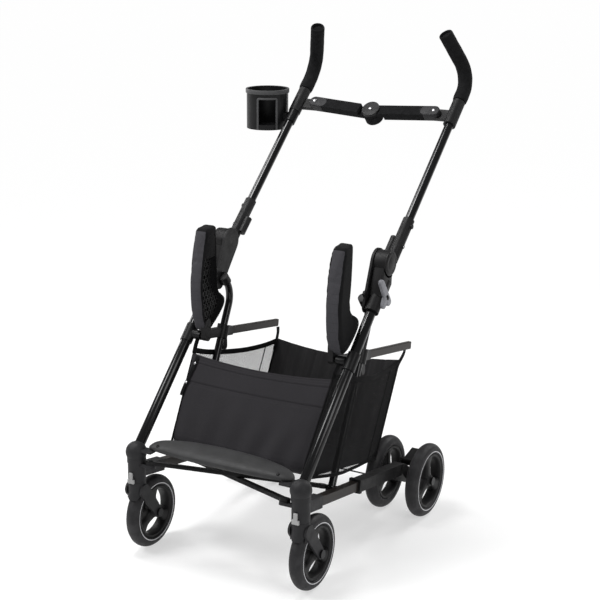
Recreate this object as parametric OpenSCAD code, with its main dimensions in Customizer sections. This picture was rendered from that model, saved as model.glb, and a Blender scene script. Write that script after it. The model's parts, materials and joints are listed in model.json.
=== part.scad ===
// Car seat stroller frame: an umbrella-fold frame with arms that hold an infant car seat
// Floor at z = 0, front towards -y. The right side is drawn and mirrored for the left one.

/* [Legs and handles] */
// Distance between the two leg tubes
leg_spacing = 390; // [370:2:410]
// Outside diameter of the leg tubes
leg_d = 22; // [20:1:23]
// Wall of every round tube
tube_wall = 1.6; // [1.2:0.1:2.2]
// Lean of the legs from upright, in degrees
leg_lean = 45; // [44:0.5:46]
// Distance along the leg from the seat bar's clamp to abeam of the fold pivot
hinge_rise = 224; // [218:1:230]
// Distance from the leg axis forward to the fold pivot
hinge_offset = 24; // [23:0.5:26]
// Lean of the handle tubes from upright, in degrees
handle_lean = 48; // [47:0.5:49]
// Outside diameter of the handle tubes
handle_d = 19; // [17:1:20]
// Distance from the grip's lower end to the corner of the bend
grip_straight = 71; // [64:1:78]
// Length of the handle after the corner
grip_rise = 116; // [108:1:124]
// Bend of the handle at the grip, in degrees
grip_turn = 79; // [74:1:84]
// Turn of that bend towards the middle, in degrees
grip_toe = 17.5; // [13:0.5:22]
// Radius of the handle's bend
grip_bend = 56; // [50:1:62]
// Outside diameter of the foam grips
grip_d = 32; // [28:1:34]
// Distance along the handle from the crossbar to the grip's lower end
grip_clear = 38; // [37:1:44]

/* [Fold hinge] */
// Radius of the round hinge head
head_r = 26; // [24:0.5:28]
// Width of the hinge head
head_w = 28; // [26:1:30]
// Inset of the head's inner face from the leg axis
head_inset = 13; // [12.7:0.1:13.5]
// Thickness of the lower housing's flange
flange_t = 5.2; // [4.5:0.1:5.5]
// Radius of the flange round the pivot
flange_r = 29; // [27:0.5:31]
// Radius of the sleeve on the leg
sleeve_r = 15.5; // [14.5:0.5:16]
// Length of the sleeve on the leg
sleeve_l = 76; // [70:1:80]
// Radius of the upper collar
collar_r = 12.5; // [11.5:0.1:12.6]
// Distance along the handle to the collar's top
collar_top = 128; // [120:1:135]
// Radius of the hinge pin
hinge_pin_r = 6; // [5:0.5:7]

/* [Front hub and caster] */
// Height of the ball that takes the leg
ball_z = 226; // [223:1:231]
// Radius of that ball
ball_r = 22; // [21:0.5:23]
// Distance of the swivel axis ahead of the front axle
hub_ahead = 46; // [45:0.5:48]
// Radius of the upright hub
hub_r = 18.5; // [18.2:0.1:19]
// Height of the hub's lower face
hub_bottom = 163; // [161:0.5:166]
// Height of the caster crown's lower edge
crown_bottom = 124; // [121:1:129]
// Radius of the caster stem
stem_r = 8; // [7:0.5:9]
// Length of the stem inside the hub
stem_l = 50; // [40:1:52]
// Thickness of a fork arm
fork_t = 5; // [4:0.5:6]

/* [Wheels] */
// Diameter of the front wheels
front_wheel_d = 155; // [150:0.5:160]
// Diameter of the rear wheels
rear_wheel_d = 164; // [160:1:168]
// Width of the tyres
tyre_w = 30; // [28:0.5:30.5]
// Height of a tyre from its rim to its tread
tyre_h = 21; // [19:1:24]
// Distance from front axle to rear axle
wheelbase = 432; // [425:1:440]
// Distance between the twin rear wheels' middles
twin_spacing = 98; // [96:1:100]
// Radius of the axles
axle_r = 5; // [4:0.5:6]
// Radius of a wheel's hub
wheel_hub_r = 13; // [12:0.5:14]
// Width of a rim's spoke
spoke_w = 20; // [16:1:24]

/* [Rail and brace] */
// Distance of each bottom rail inside its leg
rail_inset = 5; // [3:0.5:7]
// Height of the rail's axis at the swivel axis
rail_front_z = 187; // [186:0.5:190]
// Fall of the rail towards the rear, in degrees
rail_drop = 9.7; // [9.3:0.1:10.2]
// Width of the rail
rail_w = 18; // [16:1:20]
// Height of the rail
rail_h = 20; // [18:1:21]
// Wall of a plastic socket on the rail
socket_wall = 2.6; // [2:0.1:3]
// Distance of the brace's front pivots inside the legs
brace_inset = 35; // [33:1:39]
// Height of the brace's front pivots
brace_z = 203; // [201:1:207]
// Fall of the brace towards the rear, in degrees
brace_drop = 14.8; // [14:0.1:15.6]
// Thickness of a brace bar
brace_t = 8; // [6:0.5:8]
// Width of a brace bar
brace_w = 16; // [14:1:18]
// Distance of the brace's rear eyes inside the legs
brace_rear_inset = 45; // [44:0.5:48]
// Distance of the brace's rear eyes behind its front pivots
brace_run = 164; // [160:1:168]

/* [Strut and seat bar] */
// Distance of the seat bars and struts inside the legs
seat_inset = 25; // [24.5:0.5:26]
// Outside diameter of the struts
strut_d = 16; // [14:0.5:16.5]
// Place of the strut's foot behind the front axle
strut_foot_y = 122; // [119:1:125]
// Height of the strut's foot
strut_foot_z = 159; // [156:1:162]
// Distance along the leg from abeam of the fold pivot down to the strut's bend
strut_drop = 85.8; // [84:0.2:88]
// Distance of the strut's bend behind the leg
strut_back = 45.4; // [44.6:0.2:46]
// Length of the strut from that corner to its top
strut_top_l = 52; // [50:1:54]
// Lean of the strut's top part from upright, in degrees
strut_top_lean = 38.5; // [36:0.5:41]
// Radius of the strut's bend
strut_bend = 50; // [40:1:55]
// Distance along the leg to the seat bar's clamp
seat_reach = 284; // [281:1:287]
// Fall of the seat bar towards the rear, in degrees
seat_drop = 9.8; // [9.4:0.1:10.2]
// Length of the seat bar from the clamp to its rear end
seat_bar_l = 330; // [320:1:340]
// Width of the flat seat bar
seat_bar_w = 10; // [8:0.5:11]
// Height of the flat seat bar
seat_bar_h = 17; // [15:0.5:18]

/* [Seat arms] */
// Clearance between a seat arm's back and the strut's socket
arm_back_clear = 7.5; // [5:0.5:10]
// Height of a seat arm's pad
arm_height = 225; // [215:1:235]
// Width of a seat arm
arm_w = 29; // [26:0.5:29.5]
// Clearance between a seat arm and the hinge flange
arm_clear = 1; // [0.6:0.1:2]
// Height of the arm pad's lower edge above its pivot
arm_lift = 12; // [11:0.5:15]
// Radius of the arm's pivot pin
arm_pin_r = 6; // [5:0.5:6.5]

/* [Crossbar and cup] */
// Distance along the handle to the crossbar
crossbar_reach = 418; // [414:1:422]
// Distance of the crossbar's pivots inside the handles
crossbar_inset = 45; // [43:1:48]
// Drop of the knob below the line of the pivots
knob_drop = 12; // [10:0.5:14]
// Height of the crossbar's bars
bar_h = 26; // [24:0.5:26.5]
// Thickness of the crossbar's bars
bar_t = 20; // [18:0.5:21]
// Radius of the knob's upper disc
knob_r = 20; // [18:0.5:21]
// Radius of a crossbar bracket's sleeve
bracket_r = 14; // [13:0.5:15]
// Outside radius of the cup holder
cup_r = 50; // [46:0.5:52]
// Height of the cup holder
cup_h = 91; // [85:1:96]
// Wall of the cup holder
cup_wall = 3; // [2.4:0.1:3.6]
// Height of the cup holder's rim above the middle of its clip
cup_rise = 62.3; // [57:0.1:67]

/* [Footrest and basket] */
// Distance of the footrest's ends inside the legs
footrest_inset = 23; // [21:0.5:27]
// Depth of the footrest at its middle
footrest_depth = 64; // [58:1:68]
// Height of the footrest's ridge above its underside
footrest_h = 22; // [18:1:26]
// Thickness of the basket's cloth
cloth_t = 1.8; // [1.5:0.1:2]
// Drop of the basket's front corners below the seat bar's start
basket_hang_front = 23.8; // [23:0.2:30]
// Drop of the basket's rear corners below the seat bar's end
basket_hang_rear = 18.6; // [18:0.2:26]
// Height of the basket's lower edge at the front
basket_low_front_z = 215; // [211:1:221]
// Height of the basket's lower edge at the rear
basket_low_rear_z = 141; // [138:1:147]
// Sag of the basket's upper edges
basket_sag = 16; // [10:1:22]

/* [Small pieces] */
// Travel of the swivel lock tabs
lock_travel = 8; // [5:0.5:8]
// Radius of the brake cable
cable_r = 1.6; // [1:0.1:2]
// Length of the brake pedal
pedal_l = 48; // [40:1:52]
// Length of the fold lever
lever_l = 56; // [50:1:58]

/* [Fits] */
// Radial clearance of a tube or pin in its hole
fit = 0.05; // [0.02:0.01:0.08]
// Clearance between faces that pass each other
gap = 0.4; // [0.3:0.05:0.6]
// Overrun of cuts
over = 1; // [0.5:0.5:2]
// Step where the last part of a tube laps into its bend
seam = 0.15; // [0.1:0.01:0.2]
// Length of that lap
lap = 0.2; // [0.1:0.1:0.3]

/* [Hidden] */
$fn = 48;
right = 1;
left = -1;
leg_x = leg_spacing / 2;
rail_x = leg_x - rail_inset;
brace_x = leg_x - brace_inset;
brace_rear_x = leg_x - brace_rear_inset;
seat_x = leg_x - seat_inset;
crossbar_x = leg_x - crossbar_inset;
footrest_l = leg_spacing - 2 * footrest_inset;
hinge_reach = seat_reach + hinge_rise;
grip_start = crossbar_reach + grip_clear;
grip_corner = grip_start + grip_straight;
leg_r = leg_d / 2;
handle_r = handle_d / 2;
strut_r = strut_d / 2;
front_r = front_wheel_d / 2;
rear_r = rear_wheel_d / 2;
hub_y = -hub_ahead;
leg_dir = [0, sin(leg_lean), cos(leg_lean)];
leg_nor = [0, -cos(leg_lean), sin(leg_lean)];
handle_dir = [0, sin(handle_lean), cos(handle_lean)];
handle_nor = [0, -cos(handle_lean), sin(handle_lean)];
rail_dir = [0, cos(rail_drop), -sin(rail_drop)];
seat_dir = [0, cos(seat_drop), -sin(seat_drop)];
leg_foot = [leg_x, hub_y, ball_z];

function on_leg(s, n = 0) = leg_foot + s * leg_dir + n * leg_nor;
pivot = on_leg(hinge_reach, hinge_offset);
function on_handle(s, n = 0) = pivot + s * handle_dir + (n - hinge_offset) * handle_nor;
function on_rail(s) = [rail_x, hub_y, rail_front_z] + s * rail_dir;
function yz(p) = [p[1], p[2]];
function unit(v) = v / norm(v);
function mix(a, b, t) = a + (b - a) * t;
function ease(t) = t * t * (3 - 2 * t);

// The handle's path: straight part, corner and end
handle_corner = on_handle(grip_corner);
grip_side = [-sin(grip_toe), 0, 0] + cos(grip_toe) * handle_nor;
grip_dir = cos(grip_turn) * handle_dir + sin(grip_turn) * grip_side;
handle_end = handle_corner + grip_rise * grip_dir;

// The strut's path: foot, corner and top
strut_foot = [seat_x, strut_foot_y, strut_foot_z];
strut_corner = let(p = on_leg(hinge_reach - strut_drop, -strut_back)) [seat_x, p[1], p[2]];
strut_l = norm(strut_corner - strut_foot);
strut_dir = unit(strut_corner - strut_foot);
strut_lean = atan2(strut_dir[1], strut_dir[2]);
strut_top_dir = [0, -sin(strut_top_lean), cos(strut_top_lean)];
strut_top = strut_corner + strut_top_l * strut_top_dir;

// The seat bar starts abeam of its clamp on the leg
seat_start = [seat_x, on_leg(seat_reach)[1], on_leg(seat_reach)[2]];
// Distance along the seat bar at which the strut crosses it
strut_cross = let(d = yz(strut_foot - seat_start), a = yz(seat_dir), b = yz(strut_dir))
    (d[0] * b[1] - d[1] * b[0]) / (a[0] * b[1] - a[1] * b[0]);
strut_cross_at = seat_start + strut_cross * seat_dir;

// Wheels
wheel_side = 1.2;
slot_w = tyre_w + 2 * wheel_side;
front_axle = [leg_x, 0, front_r];
rear_axle = [rail_x, wheelbase, rear_r];
wheel_hub_w = tyre_w + wheel_side;
cap_t = 4;
cap_r = 9;
rear_block_w = twin_spacing - wheel_hub_w - 2 * wheel_side / 2;
axle_half = (twin_spacing + wheel_hub_w) / 2 + wheel_side / 2;

// Hinge
head_in = leg_x - head_inset;
head_out = head_in + head_w;
flange_out = head_in - gap;
flange_in = flange_out - flange_t;
sleeve_clear = 3;
sleeve_end = hinge_reach - head_r - sleeve_clear;
sleeve_start = sleeve_end - sleeve_l;

// Seat arms
arm_out = flange_in - arm_clear;
arm_in = arm_out - arm_w;
arm_pivot = yz(on_leg(seat_reach));
arm_ahead = 25;
strut_socket_wall = 3;
strut_socket_r = strut_r + strut_socket_wall;
arm_depth = strut_top[1] - strut_socket_r - arm_back_clear - arm_pivot[0] + arm_ahead;

// Frame placement: the origin lies under the middle of the whole
cup_clip = 6;
cup_x = leg_x + handle_r + cup_clip + cup_r;
mid_x = (cup_x + cup_r - rail_x - axle_half - cap_t) / 2;
grip_peak = atan2(sin(handle_lean), cos(handle_lean) * cos(grip_toe));
bend_start_y = handle_corner[1] - grip_bend * tan(grip_turn / 2) * sin(handle_lean);
bend_reach_share = sin(handle_lean) * sin(grip_peak) - cos(handle_lean) * cos(grip_toe) * (1 - cos(grip_peak));
reach_back = bend_start_y + grip_bend * bend_reach_share + grip_d / 2;
mid_y = (reach_back - front_r) / 2;

// Moves the right side's shape to its place, or mirrors it to the left
module placed(side) {
    translate([mid_x, -mid_y, 0]) {
        if (side == right) {
            children();
        } else {
            mirror([1, 0, 0]) children();
        }
    }
}

// Round bar between two points
module rod(a, b, r) {
    d = b - a;
    translate(a) rotate([0, acos(d[2] / norm(d)), atan2(d[1], d[0])]) cylinder(h = norm(d), r = r);
}

// Round bar along x
module x_rod(x0, x1, at, r) {
    translate([x0, at[0], at[1]]) rotate([0, 90, 0]) cylinder(h = x1 - x0, r = r);
}

// Flat shape in the y and z plane, thick along x
module side_plate(x0, x1) {
    translate([x0, 0, 0]) rotate([90, 0, 90]) linear_extrude(x1 - x0) children();
}

// Two discs and the straight sides that touch both
module belt(c1, r1, c2, r2) {
    d = c2 - c1;
    base = atan2(d[1], d[0]);
    open = acos((r1 - r2) / norm(d));
    translate(c1) circle(r = r1);
    translate(c2) circle(r = r2);
    polygon([for (q = [[c1, r1, open], [c2, r2, open], [c2, r2, -open], [c1, r1, -open]])
        q[0] + q[1] * [cos(base + q[2]), sin(base + q[2])]]);
}

// Tube along z
module pipe(l, r, wall) {
    difference() {
        cylinder(h = l, r = r);
        translate([0, 0, -over]) cylinder(h = l + 2 * over, r = r - wall);
    }
}

// Tube from the origin along z, bent towards x at a corner, with lengths before and after the corner.
// The last part is a little thinner and laps into the wall of the bend, so that they join in one piece.
module bent_pipe(before, after, bend, turn, r, wall) {
    cut = bend * tan(turn / 2);
    pipe(before - cut, r, wall);
    translate([bend, 0, before - cut]) rotate([90, 0, 180]) {
        rotate_extrude(angle = turn) translate([bend, 0]) difference() {
            circle(r = r);
            circle(r = r - wall);
        }
        rotate([0, 0, turn]) translate([bend, -lap, 0]) rotate([-90, 0, 0])
            pipe(after - cut + lap, r - seam, wall - 2 * seam);
    }
}

// Moves shapes to the end of such a bent tube, with z along its last part
module at_pipe_end(before, after, bend, turn) {
    cut = bend * tan(turn / 2);
    translate([bend, 0, before - cut]) rotate([90, 0, 180]) rotate([0, 0, turn]) translate([bend, after - cut, 0])
        rotate([-90, 0, 0]) children();
}

// Places shapes with z along the leg, the handle, the rail or the seat bar
module along_leg(s) {
    translate(on_leg(s)) rotate([-leg_lean, 0, 0]) children();
}

module along_handle(s) {
    translate(on_handle(s)) rotate([-handle_lean, 0, 0]) children();
}

module along_rail(s) {
    translate(on_rail(s)) rotate([-90 - rail_drop, 0, 0]) children();
}

module along_seat(s) {
    translate(seat_start + s * seat_dir) rotate([-90 - seat_drop, 0, 0]) children();
}

// Block with z along its length, centred across
module bar_block(w, h, l) {
    translate([-w / 2, -h / 2, 0]) cube([w, h, l]);
}

// Closed skin through rings of points, capped at both ends
module skin(rings) {
    n = len(rings[0]);
    m = len(rings);
    points = [for (ring = rings) each ring];
    sides = [for (i = [0:m - 2], k = [0:n - 1]) let(a = i * n + k, b = i * n + (k + 1) % n)
        each [[a, b, b + n], [a, b + n, a + n]]];
    low = [for (k = [1:n - 2]) [0, k + 1, k]];
    high = [for (k = [1:n - 2]) let(f = (m - 1) * n) [f, f + k, f + k + 1]];
    polyhedron(points = points, faces = concat(sides, low, high));
}

// Closed thin cloth between two like grids of points
module cloth(front, back) {
    m = len(front);
    n = len(front[0]);
    count = m * n;
    points = concat([for (row = front) each row], [for (row = back) each row]);
    faces = [for (i = [0:m - 2], k = [0:n - 2]) let(a = i * n + k)
        each [[a, a + 1, a + n + 1], [a, a + n + 1, a + n],
              [count + a, count + a + n + 1, count + a + 1], [count + a, count + a + n, count + a + n + 1]]];
    edge = concat([for (k = [0:n - 2]) k], [for (i = [0:m - 2]) i * n + n - 1],
                  [for (k = [n - 1:-1:1]) (m - 1) * n + k], [for (i = [m - 1:-1:1]) i * n]);
    rim = [for (k = [0:len(edge) - 1]) let(a = edge[k], b = edge[(k + 1) % len(edge)])
        each [[b, a, count + a], [b, count + a, count + b]]];
    polyhedron(points = points, faces = concat(faces, rim));
}

module leg_tube(side) {
    color("#141414") placed(side) difference() {
        along_leg(leg_r) cylinder(h = sleeve_end - leg_r, r = leg_r);
        along_leg(leg_r - over) cylinder(h = sleeve_end - leg_r + 2 * over, r = leg_r - tube_wall);
    }
}

// Swivel lock tab, a T with its bar at the foot
lock_t = 4.5;
lock_w = 16;
lock_stem_w = 8;
lock_foot_h = 9;
lock_stem_h = 14;
lock_tongue_w = 5;
lock_tongue_h = 10;
lock_hang = 0.5;
lock_tongue_depth = 6;
lock_z = hub_bottom - lock_hang;
lock_tongue_rise = 2;
lock_tongue_z = hub_bottom + lock_tongue_rise;

module swivel_lock(side) {
    face = hub_y - hub_r - gap;
    color("#7d7e84") placed(side) translate([leg_x, face, 0]) {
        translate([-lock_w / 2, -lock_t, lock_z]) cube([lock_w, lock_t, lock_foot_h]);
        translate([-lock_stem_w / 2, -lock_t, lock_z + lock_foot_h]) cube([lock_stem_w, lock_t, lock_stem_h]);
        translate([-lock_tongue_w / 2, -lock_t, lock_tongue_z])
            cube([lock_tongue_w, lock_t + lock_tongue_depth, lock_tongue_h]);
    }
}

// Brace: places shapes in its plane, with y along its fall and z across it
module in_brace() {
    translate([0, hub_y, brace_z]) rotate([-brace_drop, 0, 0]) children();
}

brace_layer = brace_t / 2 + gap;
brace_eye_r = 11;
brace_pin_r = 4;
brace_pin_end = 2;
brace_tab_t = 6;
function layer_of(side) = side == right ? -brace_layer : brace_layer;

module brace_bar(side) {
    run = brace_run / cos(brace_drop);
    span = brace_x + brace_rear_x;
    color("#1c1b1b") placed(side) in_brace() translate([0, 0, layer_of(side) - brace_t / 2]) linear_extrude(brace_t)
        difference() {
            union() {
                translate([brace_x, 0]) circle(r = brace_eye_r);
                translate([-brace_rear_x, run]) circle(r = brace_eye_r);
                translate([brace_x, 0]) rotate(180 - atan2(run, span)) translate([0, -brace_w / 2])
                    square([norm([span, run]), brace_w]);
            }
            translate([brace_x, 0]) circle(r = brace_pin_r + fit);
        }
}

hub_socket_l = 78;
foot_tab_w = 40;
foot_tab_d = 22;
foot_tab_t = 4;
foot_tab_rise = 9;
foot_tab_z = ball_z + foot_tab_rise;
rail_start = hub_r + over;
neck_h = 12;
neck_t = 1.2;

module front_hub(side) {
    tab_top = layer_of(side) - brace_t / 2 - gap;
    color("#343336") placed(side) difference() {
        union() {
            translate([leg_x, hub_y, hub_bottom]) cylinder(h = ball_z - hub_bottom, r = hub_r);
            translate([leg_x, hub_y, ball_z - ball_r]) cylinder(h = neck_h, r = hub_r + neck_t);
            translate(leg_foot) sphere(r = ball_r, $fn = 64);
            along_rail(0) bar_block(rail_w + 2 * socket_wall, rail_h + 2 * socket_wall, hub_socket_l);
            in_brace() translate([0, 0, tab_top - brace_tab_t]) linear_extrude(brace_tab_t)
                belt([leg_x, 0], hub_r / 2, [brace_x, 0], brace_eye_r);
            in_brace() translate([brace_x, 0, tab_top - over]) cylinder(h = brace_t + over + brace_pin_end, r = brace_pin_r);
            translate([leg_x - ball_r - foot_tab_w + hub_r, hub_y - foot_tab_d / 2, foot_tab_z - foot_tab_t])
                cube([foot_tab_w, foot_tab_d, foot_tab_t]);
        }
        along_leg(leg_r) cylinder(h = sleeve_l, r = leg_r + fit);
        translate([leg_x, hub_y, hub_bottom - over]) cylinder(h = stem_l + 2 * over, r = stem_r + fit);
        along_rail(rail_start) bar_block(rail_w + 2 * fit, rail_h + 2 * fit, hub_socket_l);
        translate([leg_x - lock_tongue_w / 2 - gap, hub_y - hub_r - over, lock_tongue_z - gap])
            cube([lock_tongue_w + 2 * gap, lock_tongue_depth + over, lock_tongue_h + lock_travel + 2 * gap]);
    }
}

flare_r = 21;
flare_h = 14;
fork_lift = 18;
fork_top_r = 15;
fork_foot_r = 11;
wheel_room = 2.5;

module caster_fork(side) {
    color("#2c2b2d") placed(side) {
        difference() {
            union() {
                translate([leg_x, hub_y, crown_bottom + flare_h])
                    cylinder(h = hub_bottom - gap - crown_bottom - flare_h, r = hub_r);
                translate([leg_x, hub_y, crown_bottom]) cylinder(h = flare_h, r1 = flare_r, r2 = hub_r);
                for (x = [leg_x - slot_w / 2 - fork_t, leg_x + slot_w / 2]) {
                    side_plate(x, x + fork_t)
                        belt([hub_y, crown_bottom + fork_lift], fork_top_r, yz(front_axle), fork_foot_r);
                }
                translate([leg_x, hub_y, hub_bottom - over]) cylinder(h = stem_l + over, r = stem_r);
            }
            x_rod(leg_x - slot_w / 2, leg_x + slot_w / 2, yz(front_axle), front_r + wheel_room);
            x_rod(leg_x - leg_r - slot_w, leg_x + leg_r + slot_w, yz(front_axle), axle_r + fit);
        }
    }
}

module front_axle_bolt(side) {
    half = slot_w / 2 + fork_t;
    color("#b5b5b5") placed(side) {
        x_rod(leg_x - half, leg_x + half, yz(front_axle), axle_r);
        for (x = [leg_x - half - cap_t, leg_x + half]) {
            x_rod(x, x + cap_t, yz(front_axle), cap_r);
        }
    }
}

// Wheel pieces, with the axle along x through the origin
module tyre_ring(r) {
    shoulder = tyre_w / 3;
    rotate([0, 90, 0]) rotate_extrude($fn = 96) translate([r - tyre_h, 0]) difference() {
        union() {
            translate([0, -tyre_w / 2 + shoulder / 2]) square([tyre_h - tyre_w / 2, tyre_w - shoulder]);
            translate([tyre_h - tyre_w / 2, 0]) circle(r = tyre_w / 2);
        }
        translate([-tyre_w, -tyre_w]) square([tyre_w, 2 * tyre_w]);
    }
}

rim_t = 7;
rim_w = 22;
rim_seat = 0.3;
spokes = 3;
spoke_t = 14;

module rim_body(r) {
    seat = r - tyre_h - rim_seat;
    rotate([0, -90, 0]) difference() {
        union() {
            translate([0, 0, -rim_w / 2]) difference() {
                cylinder(h = rim_w, r = seat, $fn = 96);
                translate([0, 0, -over]) cylinder(h = rim_w + 2 * over, r = seat - rim_t, $fn = 96);
            }
            translate([0, 0, -wheel_hub_w / 2]) cylinder(h = wheel_hub_w, r = wheel_hub_r);
            for (k = [0:spokes - 1]) {
                rotate([0, 0, 360 * k / spokes]) translate([0, -spoke_w / 2, -spoke_t / 2])
                    cube([seat - rim_t / 2, spoke_w, spoke_t]);
            }
        }
        translate([0, 0, -wheel_hub_w / 2 - over])
            cylinder(h = wheel_hub_w + 2 * over, r = axle_r + fit);
    }
}

module front_tyre(side) {
    color("#282729") placed(side) translate(front_axle) tyre_ring(front_r);
}

module front_rim(side) {
    color("#1d1c1d") placed(side) translate(front_axle) rim_body(front_r);
}

// The outer rear wheel stands outside the rail, the inner one inside it
outer = 1;
inner = -1;

module rear_tyre(side, which) {
    color("#282729") placed(side) translate(rear_axle + [which * twin_spacing / 2, 0, 0]) tyre_ring(rear_r);
}

module rear_rim(side, which) {
    color("#1d1c1d") placed(side) translate(rear_axle + [which * twin_spacing / 2, 0, 0]) rim_body(rear_r);
}

rail_wall = 2;
rail_tail = 34;
rail_l = (wheelbase + hub_ahead) / cos(rail_drop) - rail_tail;

module rail(side) {
    color("#2a2725") placed(side) difference() {
        along_rail(rail_start + gap) bar_block(rail_w, rail_h, rail_l - rail_start - gap);
        along_rail(rail_start - over)
            bar_block(rail_w - 2 * rail_wall, rail_h - 2 * rail_wall, rail_l - rail_start + 2 * over);
    }
}

rear_sleeve_start = 236;
rear_lip_l = 10;
rear_lip_t = 2;
block_w = 30;
axle_boss_r = 15;
pedal_back = 24;
pedal_up = 22;
pedal_pivot = yz(rear_axle) + [pedal_back, pedal_up];
pedal_pin_r = 4;
pedal_ear_r = 8;
pedal_ear_t = 5;
pedal_w = 36;

module rear_housing(side) {
    tail = yz(on_rail(rail_l));
    color("#1f1e1f") placed(side) difference() {
        union() {
            along_rail(rear_sleeve_start)
                bar_block(rail_w + 2 * socket_wall, rail_h + 2 * socket_wall, rail_l - rear_sleeve_start);
            along_rail(rear_sleeve_start) bar_block(rail_w + 2 * socket_wall + 2 * rear_lip_t,
                rail_h + 2 * socket_wall + 2 * rear_lip_t, rear_lip_l);
            side_plate(rail_x - block_w / 2, rail_x + block_w / 2)
                belt(tail, rail_h / 2 + socket_wall, yz(rear_axle), axle_boss_r);
            x_rod(rail_x - rear_block_w / 2, rail_x + rear_block_w / 2, yz(rear_axle), axle_boss_r);
            if (side == right) {
                for (x = [rail_x - pedal_w / 2 - pedal_ear_t, rail_x + pedal_w / 2]) {
                    side_plate(x, x + pedal_ear_t) belt(yz(rear_axle), axle_boss_r, pedal_pivot, pedal_ear_r);
                }
            }
        }
        along_rail(rear_sleeve_start - over)
            bar_block(rail_w + 2 * fit, rail_h + 2 * fit, rail_l - rear_sleeve_start + over + gap);
        x_rod(rail_x - twin_spacing, rail_x + twin_spacing, yz(rear_axle), axle_r + fit);
        x_rod(rail_x - twin_spacing, rail_x + twin_spacing, pedal_pivot, pedal_pin_r + fit);
    }
}

pedal_hub_r = 7;
pedal_t = 5;
pedal_tilt = 14;

module brake_pedal() {
    half = pedal_w / 2 - gap;
    color("#1b1b1c") placed(right) {
        x_rod(rail_x - half, rail_x + half, pedal_pivot, pedal_hub_r);
        x_rod(rail_x - pedal_w / 2 - pedal_ear_t, rail_x + pedal_w / 2 + pedal_ear_t, pedal_pivot, pedal_pin_r);
        translate([rail_x - half, pedal_pivot[0], pedal_pivot[1]]) rotate([pedal_tilt, 0, 0])
            translate([over, 0, pedal_hub_r - pedal_t - over]) cube([2 * half - 2 * over, pedal_l, pedal_t]);
    }
}

// Rear axle with its end caps, and the hinge pin
module axle_and_pins(side) {
    color("#b5b5b5") placed(side) {
        x_rod(rail_x - axle_half, rail_x + axle_half, yz(rear_axle), axle_r);
        for (x = [rail_x - axle_half - cap_t, rail_x + axle_half]) {
            x_rod(x, x + cap_t, yz(rear_axle), cap_r);
        }
        x_rod(flange_in, head_out - cap_t - gap, yz(pivot), hinge_pin_r);
    }
}

// Cable that links the brakes of both sides
cable_y = 328;
cable_half = rail_x - rail_w / 2 - socket_wall;

module brake_cable() {
    at = on_rail((cable_y + hub_ahead) / cos(rail_drop));
    color("#151515") placed(right) x_rod(-cable_half, cable_half, [cable_y, at[2] - rail_h / 2], cable_r);
}

foot_boss_r = 10;

module strut(side) {
    color("#1d1c1b") placed(side) {
        translate(strut_foot) rotate([-strut_lean, 0, 0]) rotate([0, 0, -90])
            bent_pipe(strut_l, strut_top_l, strut_bend, strut_lean + strut_top_lean, strut_r, tube_wall);
        difference() {
            x_rod(seat_x - strut_r, rail_x - rail_w / 2 - gap / 2, yz(strut_foot), foot_boss_r);
            rod(strut_foot, strut_corner, strut_r - tube_wall / 2);
        }
    }
}

// Fold release lever, a paddle of two lobes on a stud of the right hinge housing
lever_t = 8;
lever_r = 9;
lever_lobe_r = 7;
lever_pin_r = 4;
lever_reach = 66;
lever_lean = 20;
lever_tip_turn = 45;
lever_low_turn = -8;
lever_root = 3;
lever_at = yz(on_leg(hinge_reach - lever_reach, -sleeve_r / 5));
lever_in = leg_x + sleeve_r + gap;

// The socket takes most of the strut's straight top
socket_share = 0.9;
strut_socket_l = socket_share * (strut_top_l - strut_bend * tan((strut_lean + strut_top_lean) / 2));
flange_foot_r = 15;
flange_foot = 92;
tab_r = 6;
tab_reach = 78;

module hinge_housing(side) {
    socket_start = strut_top - strut_socket_l * strut_top_dir;
    color("#232224") placed(side) difference() {
        union() {
            along_leg(sleeve_start) cylinder(h = sleeve_l, r = sleeve_r);
            side_plate(flange_in, flange_out)
                belt(yz(pivot), flange_r, yz(on_leg(hinge_reach - flange_foot)), flange_foot_r);
            side_plate(flange_in, flange_out)
                belt(yz(on_leg(hinge_reach - tab_reach)), tab_r, yz(on_leg(hinge_reach - tab_reach, hinge_offset)), tab_r);
            rod(socket_start, strut_top + strut_socket_wall * strut_top_dir, strut_socket_r);
            if (side == right) {
                x_rod(leg_x + sleeve_r - lever_root, lever_in + lever_t, lever_at, lever_pin_r);
            }
        }
        along_leg(sleeve_start - over) cylinder(h = sleeve_l + 2 * over, r = leg_r + fit);
        rod(socket_start - over * strut_top_dir, strut_top + fit * strut_top_dir, strut_r + ring_fit);
        x_rod(flange_in - over, flange_out + over, yz(pivot), hinge_pin_r + fit);
        x_rod(head_in - gap, head_out + over, yz(pivot), head_r + gap);
    }
}

side_sleeve_r = 8.5;
side_sleeve_in = 15;
side_sleeve_start = 40;
side_sleeve_top = 80;
collar_start = 22;
tube_start = 34;
cap_disc_r = 21;
cap_disc_t = 2;

module hinge_collar(side) {
    color("#2b2a2c") placed(side) difference() {
        union() {
            x_rod(head_in, head_out, yz(pivot), head_r);
            x_rod(head_out, head_out + cap_disc_t, yz(pivot), cap_disc_r);
            along_handle(collar_start) cylinder(h = collar_top - collar_start, r = collar_r);
            along_handle(side_sleeve_start) translate([-side_sleeve_in, 0, 0])
                cylinder(h = side_sleeve_top - side_sleeve_start, r = side_sleeve_r);
        }
        along_handle(tube_start) cylinder(h = collar_top, r = handle_r + fit);
        x_rod(head_in - over, head_out - cap_t, yz(pivot), hinge_pin_r + fit);
    }
}

// Places shapes on a handle, turned so that its bend runs towards x
module on_bend(side, s) {
    translate([mid_x + (side - 1) * leg_x, -mid_y, 0]) along_handle(s) rotate([0, 0, -90 - side * grip_toe]) children();
}

module handle_tube(side) {
    color("#141414") on_bend(side, tube_start)
        bent_pipe(grip_corner - tube_start, grip_rise, grip_bend, grip_turn, handle_r, tube_wall);
}

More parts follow.
